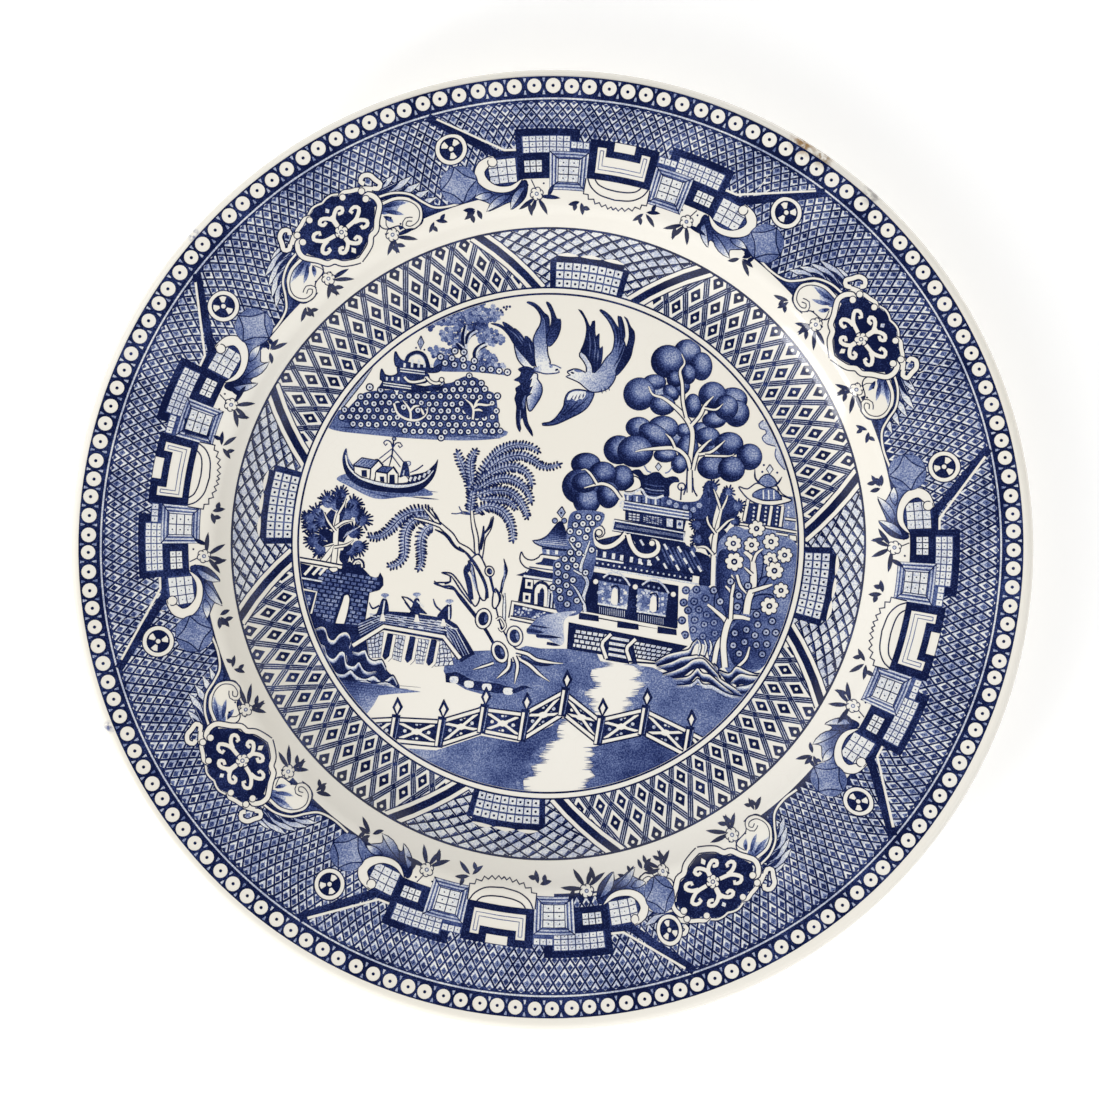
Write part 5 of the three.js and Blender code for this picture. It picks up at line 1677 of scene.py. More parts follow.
def draw_right_rocks(pen, _):
    pen.frame = plain
    rocks(pen, (([(28.6, -31.2), (32, -29.4), (35, -28.6), (37.6, -28), (38.6, -26.4), (40, -25)], 3.2,
        0.0), ([(29, -32.4), (33, -31.4), (35.6, -30.2), (38, -29.8), (40.8, -29.6), (43, -31),
        (45, -33)], 3.0, 0.0), ([(45.4, -33.4), (48.6, -34.4), (50.4, -32.6), (53, -33.6), (56, -34.6),
        (59, -34)], 3.4, 0.0), ([(30.6, -34.6), (34, -33.6), (36.6, -32.4), (38.8, -30.8), (41.6, -30.6),
        (44, -33), (46.4, -35.6)], 2.8, 0.0), ([(44.4, -31.8), (45.6, -33), (46, -35.6), (48.6, -37.4),
        (52, -39.6)], 2.0, 0.0), ([(49, -36.6), (51.4, -34.6), (54, -35), (57.4, -35.2)], 3.0, 0.0),
        ([(33.4, -35.6), (37.6, -35.2), (40, -33), (41.4, -34.4), (43.4, -34.8), (46.6, -37.4),
        (49.6, -39.6)], 2.4, 0.0), ([(50.4, -38), (53.6, -37.6), (56.4, -36.2)], 2.2, 0.1),
        ([(34.4, -37.6), (38.4, -37.2), (40.2, -35.8), (41.6, -37.4), (44, -37.6), (48, -39.8),
        (52, -40.6)], 1.5, 0.1), ))
    for x in (40.2, 41.8, 43.2):
        pen.line([(x, -25.4), (x + 0.6, -27), (x + 0.1, -30)], 1.0, 0.95, 0.4, 0.6)
        pen.line([(x, -25.6), (x + 0.5, -27.2), (x, -29.6)], 0.55, 0.05, 0.4, 0.6)


def draw_left_rocks(pen, _):
    pen.frame = plain
    pen.fill([(-64, -19), (-58, -21), (-50, -22), (-48.6, -26), (-47.6, -31), (-44.4, -31), (-43, -34),
        (-40.8, -36), (-40.2, -39), (-48, -38.4), (-56, -37), (-60, -30)], 0.97)
    rocks(pen, (([(-62.4, -22.4), (-60.6, -21.8), (-59.4, -22.6), (-58.6, -25), (-57.4, -25.6),
        (-56, -24), (-54, -23.4), (-52.8, -25), (-53.2, -27.2)], 1.6, 0.0),
        ([(-61.4, -26.4), (-59.8, -27), (-59, -29.6), (-57.4, -30.6), (-55.8, -28.8), (-54.4, -29),
        (-53.8, -32), (-52, -32.6), (-50.6, -31.4), (-49.4, -33.4), (-48, -34), (-46, -33.6)], 1.9, 0.05),
        ([(-52.4, -28.4), (-50.6, -28.8), (-49, -28.2), (-47.8, -30.6), (-46.2, -31.2), (-44.6, -30.8),
        (-43.4, -33)], 1.6, 0.05), ([(-58.4, -32.2), (-56.4, -34.4), (-54.4, -34.6), (-52.8, -33.6),
        (-51.2, -35.2), (-49, -36), (-46.6, -35.2), (-44.8, -36.6), (-43, -36), (-41.6, -35),
        (-40.4, -37)], 1.3, 0.1), ([(-48.6, -36.4), (-46.4, -37.2), (-43.6, -36.8), (-41.6, -37.6),
        (-40.4, -38.4)], 0.9, 0.15), ))


def draw_water(pen, rng):
    """The river on the left, streaked with ripples."""
    pen.frame = plain
    pen.cut([(-58, -36.2), (-49, -37), (-41, -38.4), (-34, -39.6), (-41, -40.1), (-45.4, -40.6),
        (-46.6, -43), (-48.6, -45.6), (-54, -45)], pen.fade((-50, -37), (-48, -45), 0.72, 0.38))
    for k in range(15):
        y = -36.6 - 0.62 * k
        right = (-40, -34, -37, -41, -43, -45, -46)[min(k, 6)] - 0.25 * k + rng.uniform(-0.5, 0.5)
        pen.rule([(-58, y + 0.8), (right, y - 0.05 * (right + 58))], 0.26, 0.95 - 0.03 * k, 1, 0.2)


# %% [markdown]
# ### Nearer things on the left
# A leafy tree, the gatehouse by the river, and the bridge on its arcade, with three walkers on the
# deck.

# %% Leafy tree, gatehouse and bridge
def draw_leafy_tree(pen, rng):
    pen.frame = plain
    for x, y, reach, first, last in ((-55.6, 13, 2.4, 20, 160), (-58.8, 11.4, 2.6, 70, 190),
            (-52.2, 10.6, 2.4, -30, 100), (-61.6, 8, 2.6, 90, 220), (-50, 6.6, 2.6, -50, 80),
            (-63, 4.6, 2.6, 100, 240), (-52, 3.2, 2.4, -50, 90), (-62.6, 1, 2.8, 110, 250),
            (-61, -1.6, 2.2, 180, 320), (-50.8, -0.6, 2.4, -110, 30), (-56.6, 10.6, 2.4, 40, 150),
            (-54, 8, 2.6, 10, 130), (-60, 6, 2.6, 90, 220), (-59.6, 2.6, 2.4, 100, 240),
            (-53, -1.6, 2.2, -110, 10), (-51.6, 8.4, 2.0, -60, 60), (-64, 7, 2.0, 90, 220)):
        fan(pen, (x, y), reach * 1.14, first - 8, last + 8, 9, rng, 0.56)
    for path, width in (([(-58.2, 4), (-58.6, 6.6), (-57.4, 9)], 2.4),
            ([(-56, 5.6), (-55.4, 8.4), (-54.8, 11)], 1.9),
            ([(-60.8, 3.4), (-58.6, 2.4), (-58, 0.4)], 2.6),
            ([(-61.6, 0.6), (-59.6, 0), (-58.4, 0)], 1.6), ([(-55.4, 0.6), (-54.6, 3.6), (-52.6, 5)],
            2.8), ([(-55, -1.6), (-54.6, -4), (-54, -5)], 2.4), ([(-54.6, -2), (-52.8, 0)], 1.8),
            ([(-56.4, 9.4), (-56, 12), (-55.8, 14.4)], 1.5)):
        pen.line(path, width, 0.96, 0.5, 0.6)
    for path, width in (([(-57.4, -5), (-57, -1), (-56.8, 3), (-56.2, 7.4), (-55.6, 9.6)], 1.3),
            ([(-60.6, -5), (-58.6, -2.4), (-57.6, -0.4)], 1.2),
            ([(-56.9, 3.4), (-58.8, 6), (-60, 8.6)], 0.5), ([(-56.8, 4.6), (-54.6, 6), (-52, 6.4)], 0.6),
            ([(-57.2, -0.8), (-54, -0.2), (-52, 1.2)], 0.5),
            ([(-56.2, 8), (-54.6, 10.8), (-54.2, 12.4)], 0.5), ([(-57.4, 0.2), (-60, -0.6)], 0.4)):
        pen.band(path, width, 0.24, 0.0, 1, 0.3)
    for k in range(7):
        pen.line([(-54.8 + 0.5 * k, 1.6 + 0.4 * k), (-53.6 + 0.5 * k, 3.4 + 0.2 * k)], 0.24, 0.2, 0.5,
            0.5)


def draw_gatehouse(pen, rng):
    pen.frame = plain
    wall = [(-66.6, -5), (-61.5, -6.2), (-58, -6.8), (-55, -5.2), (-53, -4.6), (-52, -5.4), (-50, -5.2),
        (-49.4, -6.6), (-47.6, -8.5), (-46.2, -9), (-45.5, -8.6), (-45, -7.5), (-44.2, -9), (-44.1, -11),
        (-45.2, -12.3), (-47.8, -13), (-48.4, -17), (-49, -21), (-49.6, -24), (-62, -24), (-63, -20),
        (-66.6, -12)]
    pen.cut(wall, 0.98)
    for row in range(17):
        y = -6.4 - 1.1 * row
        for k in range(12):
            x = -64 + 1.75 * k + 0.85 * (row % 2) - 0.16 * row
            spot = complex(x, y - 0.16 * (x + 64))
            corners = [spot + p for p in (-0.66 - 0.3j, 0.62 - 0.5j, 0.72 + 0.22j, -0.56 + 0.42j)]
            if all(inside(p, pen.on(wall)) for p in corners) and (spot.real > -61 or y < -9.8):
                pen.lay(corners, rng.uniform(0.42, 0.62))
    pen.cut([(-66.6, -11.8), (-62, -12.8), (-64, -20), (-66.6, -16)], 0.95)
    speckle(pen, [(-65.6, -13.4), (-63.2, -13.8), (-64.4, -18)], 24, rng, 0.2, 0.5, 0.36, 0.75)
    bar(pen, [(-66.4, -11.9), (-61.9, -12.8), (-63.6, -19.4)], 0.5, 0.2)
    for x in (-65.2, -63, -61.2):
        pen.rule([(x, -8.2), (x + 2.2, -5.8)], 0.75, 0.03)
    bar(pen, [(-66.6, -8.9), (-60.4, -10)], 0.45, 0.25, 0.1)
    bar(pen, [(-66.8, -4.1), (-60.8, -5.1), (-55.2, -6.2)], 0.8, 0.4)
    pen.fill([(-58.8, -6.4), (-57.6, -7.6), (-56.2, -7), (-56.4, -6.2)], 0.0, 0.25)
    pen.fill([(-55.6, -8.4), (-54.4, -6.6), (-53, -7)], 0.98)
    pen.line([(-52.2, -5.6), (-51.6, -4.4), (-50.6, -4.2), (-49.7, -5), (-49.6, -6.4)], 1.1, 1.0)
    pen.line([(-52.1, -5.4), (-51.5, -4.6), (-50.6, -4.4), (-49.9, -5.2), (-49.8, -6.2)], 0.45, 0.0)
    pen.fill([(-55.6, -15), (-54.8, -13.4), (-53.6, -13.2), (-53, -14.4), (-53.4, -18), (-54.6, -22),
        (-56.6, -24.6), (-57.6, -25.6), (-57.8, -23), (-56.8, -19)], 0.98, 0.3)
    pen.fill([(-55, -15.4), (-54.5, -13.8), (-53.8, -13.5), (-53.2, -14.6), (-53.8, -18.4), (-55, -22.2),
        (-56.6, -24.6), (-57.5, -25), (-57.2, -22.4), (-56.2, -19)], 0.0)


def draw_bridge(pen, rng):
    pen.frame = plain
    deck = [(-52.8, -26.6), (-50, -22), (-49.2, -20.3), (-45.6, -18.3), (-43, -17.9), (-37, -18.3),
        (-27, -19.9), (-24.4, -21.6), (-21.6, -26), (-19.6, -29.4), (-23.4, -31.6), (-27.4, -26),
        (-44, -23)]
    pen.cut(deck, 0.96)
    for k in range(6):
        shift = 0.72 * k
        pen.rule([(-51 + 0.15 * k, -21.6 - shift), (-44, -18.7 - shift * 0.8),
            (-28, -20.9 - shift * 0.95)], 0.26, rng.uniform(0.1, 0.45))
        pen.rule([(-28 + 0.2 * k, -20.8 - shift), (-24.6 - 0.35 * k, -23 - shift),
            (-21.2 - 0.7 * k, -29.4 - 0.25 * k)], 0.26, rng.uniform(0.1, 0.45))
    for _ in range(46):
        x = rng.uniform(-48, -26)
        y = rng.uniform(-22, -19.4) - 0.1 * (x + 40)
        pen.rule([(x, y), (x + rng.uniform(0.8, 1.8), y - 0.2)], 0.24, rng.uniform(0.05, 0.35))
    # arcade under the deck: netted panels between leaning piers
    panels = ([(-48.6, -25), (-44, -23.4), (-44.8, -30.4), (-47.8, -30.6)],
        [(-41.6, -24), (-38.2, -24.6), (-39.4, -31.6), (-41.6, -30.8)],
        [(-35.9, -25), (-31.8, -25.6), (-33.4, -32.2), (-35.4, -32)],
        [(-29.8, -25.8), (-27, -25.6), (-25.2, -32.4), (-30.4, -32.8)])
    for panel in panels:
        crazed(pen, panel, 4, 6, rng)
    for x, y in ((-42.6, -23.8), (-36.6, -24.6), (-30.9, -25.4)):
        pen.cut([(x - 0.4, y), (x + 1, y - 0.2), (x + 0.5, y - 6.4), (x - 1.2, y - 7.2),
            (x - 1.8, y - 6.2)], 0.98)
        bar(pen, [(x + 1.5, y - 0.6), (x + 0.4, y - 6.4), (x - 0.6, y - 7.4)], 0.8, 0.12)
    bar(pen, [(-52.3, -27.2), (-44, -22), (-28, -24.8), (-23.6, -30.6)], 0.95, 0.4)
    # three walkers
    for hat, body, arm in (((-43.7, -13.6), [(-44.4, -14.6), (-43.2, -14.8), (-42.8, -18.4),
            (-45.8, -18.9), (-45.2, -16.6)], [(-47.9, -15.6), (-47, -17.2), (-45.2, -16.4)]),
            ((-35.2, -13.4), [(-35.8, -14.6), (-34.6, -14.6), (-34.3, -16.6), (-32.4, -18.7),
            (-34.4, -18.4), (-34.6, -19.4), (-37.4, -19), (-36.4, -17.2)],
            [(-39.3, -14), (-37.6, -14.4), (-36, -15.8), (-36.6, -17.2)]),
            ((-26.5, -15.2), [(-27.2, -16.2), (-26, -16), (-26, -19.9), (-27.2, -20.4), (-29.8, -19.6),
            (-28.6, -17.6)], [(-30.8, -14.6), (-30.2, -16.4), (-28.8, -17.8)]), ):
        pen.line(arm, 0.5, 0.9, 0.5, 1)
        pen.fill(body, 0.97)
        pen.line([((body[0][0] + body[1][0]) / 2, body[0][1] - 0.5),
            ((body[2][0] + body[3][0]) / 2, body[2][1] - 0.2)], 0.4, 0.1)
        pen.dot((hat[0], hat[1] - 0.5), 0.55, 0.15, 10)
        oval(pen, hat, 1.1, 0.5, 0, 0.4, 12)
        pen.dot((hat[0] + 0.05, hat[1] - 0.7), 0.16, 0.8, 6)
    for x, y in ((-39.2, -14), (-38.4, -15.4)):
        pen.line([(x, y), (x + 2.6, y - 3.6)], 0.4, 0.95)
    for x, y in ((-44.4, -19), (-35.3, -19.2), (-28.2, -20.4)):
        pen.cut([(x - 0.7, y - 1.6), (x - 0.2, y + 0.4), (x + 0.4, y + 0.3), (x + 0.9, y - 1.6)], 0.0)
    # kerb of the far bank
    pen.cut([(-27.6, -34.6), (-24.4, -34.2), (-20, -36.6), (-14, -37.2), (-9, -38.6), (-5, -38.4),
        (-9, -40), (-14, -39.9), (-21, -38.8), (-24, -37.4), (-27.4, -37)], 0.96)
    for x, y, size in ((-25.2, -36.2, 1.0), (-21.2, -37.4, 1.1), (-16.4, -38.2, 1.1),
            (-10.7, -39.3, 1.15)):
        pen.fill([(x - size, y + 0.7), (x + size, y + 0.6), (x + size * 0.9, y - 1), (x - size, y - 0.8)],
            0.05)
    pen.line([(-9.6, -39.6), (-8, -38.6), (-6, -38.2), (-4.2, -38.8)], 0.7, 0.98, 1, 0.2)


# %% [markdown]
# ### The willow
# The willow hangs over the middle of the garden. Its fronds are feathery twigs on both sides of a
# spine; the trunk is pale, with knots, and stands in front of them.

# %% The willow
FRONDS = (([(-31.6, 8.4), (-34, 8.8), (-37.2, 8.3), (-40, 6.6), (-42.4, 4), (-45, 2.2), (-48.2, 1.9)],
    1.75), ([(-32, 7), (-34.6, 7.2), (-37.2, 5.4), (-38.4, 2.4), (-38.5, -1), (-38.8, -3.6),
    (-40.6, -5.4), (-42.8, -6)], 1.6), ([(-31, 5), (-32.8, 4.2), (-34, 1.6), (-34.1, -1.6), (-34, -4.6),
    (-34.8, -7)], 1.6), ([(-20.4, 12), (-20.6, 15), (-21.8, 18.4), (-23.4, 21.6), (-24.6, 25)], 1.6),
    ([(-20.4, 16), (-21, 19.6), (-20.8, 22.8), (-19.4, 25.4)], 1.5),
    ([(-19.6, 14), (-18, 18.4), (-15.8, 22.4), (-12.8, 25.2), (-9, 26.6), (-5, 26.2), (-2.6, 24.8)], 1.5),
    ([(-18.6, 15.6), (-16, 20), (-12.4, 22.8), (-8, 23.8), (-4.6, 22.8), (-2, 21), (0.4, 20.8),
    (3, 21.6)], 1.5), ([(-17.6, 17.6), (-13.6, 20), (-9.6, 20.8), (-6.4, 19.6), (-4.9, 17.4),
    (-4.6, 15.4)], 1.5), ([(-18.8, 14.8), (-14.6, 17.2), (-10.6, 17.6), (-7.4, 16), (-5.4, 13.6),
    (-4.6, 11)], 1.5), ([(-19.4, 13), (-15, 14.4), (-11, 14.2), (-8.4, 12.4), (-6.6, 9.8), (-5.6, 7)],
    1.5), ([(-18, 12), (-14.4, 12), (-11, 11.6), (-8.6, 9.6)], 1.3),
    ([(-21, 8.2), (-20.8, 10.4), (-20.6, 12.6), (-20.2, 14.6)], 1.5),
    ([(-19.6, 8.8), (-16.4, 10.2), (-13.2, 9.4), (-11, 7.2), (-9.8, 4.2), (-9.5, 0.8)], 1.6), )


def knot(pen, x, y, across_, up, turn=0):
    """A hole in the bark with a pale lip."""
    oval(pen, (x, y), across_ + 0.34, up + 0.34, turn, 1.0, 20)
    oval(pen, (x, y), across_, up, turn, 0.0, 20)
    oval(pen, (x, y), across_ * 0.7, up * 0.72, turn, 0.98, 16)
    oval(pen, (x + across_ * 0.34, y), across_ * 0.22, up * 0.42, turn, 0.6, 10)


def draw_willow(pen, rng):
    pen.frame = plain
    for path, reach in FRONDS:
        spray(pen, path, reach, rng)
    for path in ([(-24, 8.4), (-21, 8), (-18, 8.4)], [(-26, 8.3), (-24.6, 8.2), (-22.6, 8.8)],
            [(-24, 10.2), (-23.2, 8.8), (-21, 8.2)], [(-20, 14.6), (-17, 14.8), (-14.6, 14)]):
        pen.line(path, 0.3, 0.75)
    # crown boughs and trunk
    for path, width in (([(-31.6, 9.8), (-30.6, 7), (-28.4, 4.6), (-26, 2.4), (-24.4, 0), (-21.6, -1.6),
            (-19.4, -4)], 1.0), ([(-36, 7), (-32, 6), (-29, 4.9)], 0.5),
            ([(-33.2, 9.6), (-30.4, 6.4)], 0.5), ([(-20.6, 9), (-20.2, 5.4), (-19.4, 1.6), (-19.2, -1.6),
            (-18.4, -4)], 0.85), ([(-15, 7.2), (-15.8, 4.4), (-17.4, 1.8), (-17.9, -1.4), (-18.3, -4)],
            0.7)):
        pen.band(path, width, 0.36, 0.0, 0.6, 1)
    for path, width in (([(-14.8, 7.6), (-15.6, 5), (-17.2, 3)], 0.75),
            ([(-17.4, 5), (-17.6, 2), (-18.2, -1.4)], 0.9),
            ([(-31.8, 9.9), (-30, 7.6), (-28.8, 5.2)], 0.5),
            ([(-30.4, 4), (-27.4, 2.4), (-25, -0.6), (-22.6, -2)], 0.85)):
        pen.line(path, width, 1.0, 0.4, 0.7)
    trunk = [(-18.9, -2.6), (-16.8, -6), (-15.6, -9.4), (-14.6, -13.6), (-13.8, -18), (-12.6, -22),
        (-10.6, -25.6), (-8.6, -28), (-6.6, -28.6), (-8.4, -31.4), (-11, -31.4), (-13, -30.4),
        (-14.6, -27), (-17.6, -22), (-20.6, -17.4), (-24.6, -12.6), (-27.6, -11.6), (-30.6, -10.4),
        (-28, -10.2), (-26.4, -10), (-26.4, -8.4), (-28.6, -7.6), (-26, -7.8), (-24, -10), (-21.4, -14),
        (-19.6, -16.6), (-18.4, -14), (-19.6, -9.6), (-21.4, -5.4)]
    pen.fill(trunk, 0.0, 0.42)
    for path, width in (([(-30.6, -9.8), (-28.6, -11.2), (-25.8, -11.4), (-23.4, -14.4), (-20, -18.6),
            (-17, -22.6), (-14.4, -27)], 1.0), ([(-28.6, -7.6), (-26, -8.6), (-23.4, -12.4),
            (-20.6, -16)], 0.45), ([(-24, -0.6), (-21.4, -3), (-18.8, -7), (-16.8, -11.4),
            (-16.4, -14.4)], 1.05), ([(-26.4, -8.2), (-26.3, -10), (-27.8, -10.6)], 0.5),
            ([(-12, -3.8), (-11.3, -7), (-12.2, -10), (-12.8, -13)], 0.85),
            ([(-12.9, -12.4), (-12, -15), (-12.2, -20.4)], 0.4),
            ([(-22, -5.6), (-22.4, -7), (-21.4, -10), (-20.6, -14.8)], 1.5),
            ([(-14.2, -11.6), (-12.8, -14)], 0.7)):
        pen.line(path, width, 1.0, 0.3, 0.8)
    pen.fill([(-21.6, -4.6), (-20.4, -5.6), (-19.6, -9), (-18.8, -13), (-17.6, -15), (-16.6, -14.4),
        (-16.8, -11.6), (-18.6, -7.6), (-20.4, -4.6)], 0.0, 0.4)
    pen.line([(-20.2, -5), (-17.8, -8.6), (-16.6, -12), (-16.7, -14.6)], 0.85, 1.0, 0.4, 0.8)
    pen.line([(-20.6, -5.6), (-20.2, -9), (-19.2, -12.4)], 0.5, 0.45, 0.5, 0.5)
    pen.fill([(-22.6, -7.4), (-21.6, -5.2), (-20.8, -4.6), (-20.9, -6.2), (-21.4, -7.4)], 0.98, 0.2)
    pen.fill([(-14.4, -11.9), (-13.2, -14), (-13.4, -16), (-14.3, -17.2), (-15, -16.4), (-14.9, -14)],
        0.0, 0.4)
    pen.line([(-14.2, -12), (-12.9, -14.2), (-13.6, -16.6)], 0.6, 1.0, 0.5, 0.5)
    pen.line([(-11.9, -5.4), (-11.8, -8.6), (-12.4, -11.4)], 0.4, 0.45, 0.3, 0.3)
    pen.band([(-11.7, -13), (-11.8, -16), (-11.9, -20.6)], 0.55, 0.24, 0.05, 0.4, 1)
    knot(pen, -15.8, -7.2, 1.05, 1.25, 20)
    pen.line([(-15.4, -8.6), (-14.9, -11), (-14.2, -13)], 0.35)
    knot(pen, -17.4, -19.9, 2.0, 2.6, -8)
    knot(pen, -13, -28.9, 1.9, 2.9, 24)
    knot(pen, -9, -24.6, 2.0, 2.6, 8)
    pen.band([(-13.9, -20.2), (-12.9, -19.6), (-12, -20.6), (-11.5, -22), (-12.5, -23.2), (-13.2, -22.2)],
        0.4, 0.24)
    # roots
    for path, width in (([(-8.6, -28.6), (-5.6, -29.4), (-3, -31), (1.6, -31.8), (4, -31.9)], 0.75),
            ([(-8.2, -30.4), (-5, -32.4), (-2.4, -34.8), (0.4, -36.8)], 0.75),
            ([(-9, -30), (-8.2, -32.6), (-9, -37.4)], 0.7),
            ([(-10.4, -30.8), (-10.8, -33.2), (-13.8, -36)], 0.7),
            ([(-14.6, -31.8), (-17, -32.6), (-20.2, -33.6)], 0.5)):
        pen.band(path, width, 0.36, 0.0, 1, 0.2)
    pen.line([(-7.2, -30.4), (-4, -31.8), (-1, -32.4), (1.6, -32.2)], 0.8, 0.98, 0.8, 0.2)
    pen.line([(-9.9, -30.6), (-9.8, -33), (-11.6, -35.6)], 0.5, 0.98, 0.8, 0.2)
    # shaded bank between the tree and the terrace
    bank = [(-5.9, -23), (-4.2, -21), (-2.6, -19.6), (1.6, -18.4), (7.4, -17.8), (5.6, -19), (4.2, -20.4),
        (4, -23), (4.2, -26), (3.4, -27), (2, -26.8), (0, -25.4), (-3, -25), (-3.4, -24.2), (-5.6, -23.9)]
    pen.fill(bank, pen.fade((-5.4, -22), (3.4, -21.4), 0.72, 0.14))
    for y, start, end, width in ((-23.2, -5.8, -1.2, 1.1), (-24.6, -3.3, 3.6, 0.8),
            (-26.7, -0.4, 3.2, 0.8), (-22, -4.4, 0.6, 0.5)):
        pen.line([(start, y + 0.2), ((start + end) / 2, y - 0.1), (end, y - 0.4)], width, 0.97, 1, 0.1)


# %% [markdown]
# ### The fence
# A zigzag fence closes the garden at the bottom. All panels are the same patch of rails and a
# cross, stretched between one post and the next.

# %% The fence
POSTS = ((-41.3, -46, -53.4), (-29, -46.6, -54.6), (-17.6, -43.2, -50.8), (-6.7, -44.6, -53),
    (4.1, -38.6, -46.2), (13.7, -46.2, -54), (25.6, -43.4, -51.4), (37.5, -49.2, -57.6))


def draw_fence(pen, rng):
    """Zigzag panels, each two rails with a thick cross between, and posts with pointed finials."""
    pen.frame = plain
    ends = [(-49.4, -46.4, -53.6)] + list(POSTS) + [(46, -53.6, -61)]
    for (x0, top0, foot0), (x1, top1, foot1) in zip(ends, ends[1:]):
        corners = ((x0, foot0 + 0.6), (x1, foot1 + 0.6), (x1, top1 - 1), (x0, top0 - 1))
        pen.cut(list(corners), 0.97)
        for u, v, size in ((0.24, 0.5, 0.5), (0.3, 0.62, 0.34), (0.76, 0.5, 0.5), (0.7, 0.4, 0.34),
                (0.5, 0.2, 0.4), (0.5, 0.82, 0.4), (0.42, 0.16, 0.3), (0.58, 0.84, 0.3)):
            pen.dot(across(corners, u, v), size, rng.uniform(0.0, 0.35), 7)
        for low, high in ((0.14, 0.86), (0.86, 0.14)):
            ways = [across(corners, u, low + (high - low) * (u - 0.12) / 0.76) for u in (0.12, 0.3, 0.5,
                0.7, 0.88)]
            pen.rule(ways, 1.35, 0.97)
        for low, high in ((0.14, 0.86), (0.86, 0.14)):
            ways = [across(corners, u, low + (high - low) * (u - 0.12) / 0.76) for u in (0.12, 0.3, 0.5,
                0.7, 0.88)]
            pen.rule(ways, 0.75, 0.0)
        middle = across(corners, 0.5, 0.5)
        pen.fill([(middle[0] + 1.5, middle[1]), (middle[0], middle[1] + 0.9),
            (middle[0] - 1.5, middle[1]), (middle[0], middle[1] - 0.9)], 0.0)
        for v in (0.02, 0.98):
            bar(pen, [across(corners, 0.05, v), across(corners, 0.95, v)], 0.85, 0.4)
    for x, top, foot in POSTS:
        lean = 0.14 * (top - foot) / 2
        pen.rule([(x + lean + 0.15, top + 0.3), (x - lean + 0.15, foot)], 2.3, 0.98)
        pen.rule([(x + lean - 0.42, top - 0.5), (x - lean - 0.42, foot + 0.4)], 0.72, 0.0)
        pen.rule([(x + lean + 0.95, top - 0.6), (x - lean + 0.8, foot + 0.6)], 0.24, 0.5)
        tip = x + lean + 0.5
        pen.cut([(tip, top + 5), (tip + 1.35, top + 2.3), (tip - 0.2, top - 0.2), (tip - 1.3, top + 2.2)],
            0.98, 0.2)
        pen.cut([(tip, top + 3.6), (tip + 0.62, top + 2.3), (tip - 0.15, top + 0.5),
            (tip - 0.75, top + 2.2)], 0.0)


def draw_scene(pen, rng):
    """Everything from the far bank to the fence, far things first."""
    for name, draws in (("print_swallows", (draw_swallows,)),
            ("print_blossom_island", (draw_clouds, draw_island)), ("print_boat", (draw_boat,)),
            ("print_far_pagoda", (draw_far_pagoda, draw_right_trees)),
            ("print_ball_tree", (draw_ball_tree,)), ("print_flower_bush", (draw_flower_bush,)),
            ("print_great_pagoda", (draw_pagoda,)), ("print_teahouse", (draw_teahouse,)),
            ("print_ground", (draw_ground, draw_right_rocks)), ("print_leafy_tree", (draw_leafy_tree,)),
            ("print_gatehouse", (draw_gatehouse, draw_left_rocks, draw_water)),
            ("print_bridge", (draw_bridge,)), ("print_willow", (draw_willow,)),
            ("print_fence", (draw_fence,))):
        pen.part(name)
        for draw in draws:
            draw(pen, rng)
    pen.frame = plain
    ring_band(pen, 66.5, 95, 0.0)


# %% [markdown]
# ## From drawing to print
# The drawing is a heap of overlapping outlines. Stacked sheets would flicker and shade badly, so
# the heap is cut into one flat partition of the plane by a constrained Delaunay triangulation.
# Each small face takes the tone of the last shape laid over it, bare faces are left out so that
# the glaze shows, and the rest is laid on the curved face with the face's own normals. The tone
# goes with each corner as an attribute, which the ink material reads.

# %% Laying the print on the plate
PRINT_LIFT = 0.05          # above the glaze's surface, in millimetres
BARE = 0.03                # tones below this stay bare glaze
MARGIN = 1e-3              # slack when a face is matched to the shape over it
SHOULDER_RINGS = (86.0, 95.6, 0.8)     # first and last radius, and the pitch between
HOLLOW_RINGS = (68.4, 84.8, 1.1)
INNER_SHIFT = complex(-0.45, 1.2)      # the inner sheets were set down here,
INNER_TURN = cmath.rect(1, -0.25 * DEGREE)     # turned a quarter degree,
INNER_SETTLE = complex(-0.39, 0.35)    # and smoothed down this much further


def laid_inside(spot):
    """Where a point of the border of the well, or of the garden, ends up."""
    return (spot + INNER_SHIFT) * INNER_TURN + INNER_SETTLE


def contour_rings(first, last, pitch):
    """Rings that make a print bend with the hollow and the shoulder of the plate."""
    rings = []
    for k in range(int((last - first) / pitch) + 1):
        rings.append([cmath.rect(first + k * pitch, 3 * s * DEGREE) for s in range(120)])
    return rings


def partition(shapes, rings=()):
    """Cut overlapping shapes into one layer of faces; returns points and kept faces."""
    points, edges, faces = [], [], []
    for outline, _ in shapes:
        faces.append(list(range(len(points), len(points) + len(outline))))
        points += [Vector((p.real, p.imag)) for p in outline]
    for ring in rings:
        start = len(points)
        points += [Vector((p.real, p.imag)) for p in ring]
        edges += [(start + k, start + (k + 1) % len(ring)) for k in range(len(ring))]
    spots, _, cells, _, _, owners = delaunay_2d_cdt(points, edges, faces, 1, 1e-5, True)
    boxes = [(min(p.real for p in o) - MARGIN, max(p.real for p in o) + MARGIN,
        min(p.imag for p in o) - MARGIN, max(p.imag for p in o) + MARGIN) for o, _ in shapes]
    kept = []
    for corners, owner in zip(cells, owners):
        middle = sum((spots[c] for c in corners), Vector((0, 0))) / len(corners)
        for number in sorted(owner, reverse=True):
            left, right, low, high = boxes[number]
            if left <= middle.x <= right and low <= middle.y <= high:
                kept.append((corners, shapes[number][1], middle, number))
                break
    return spots, kept


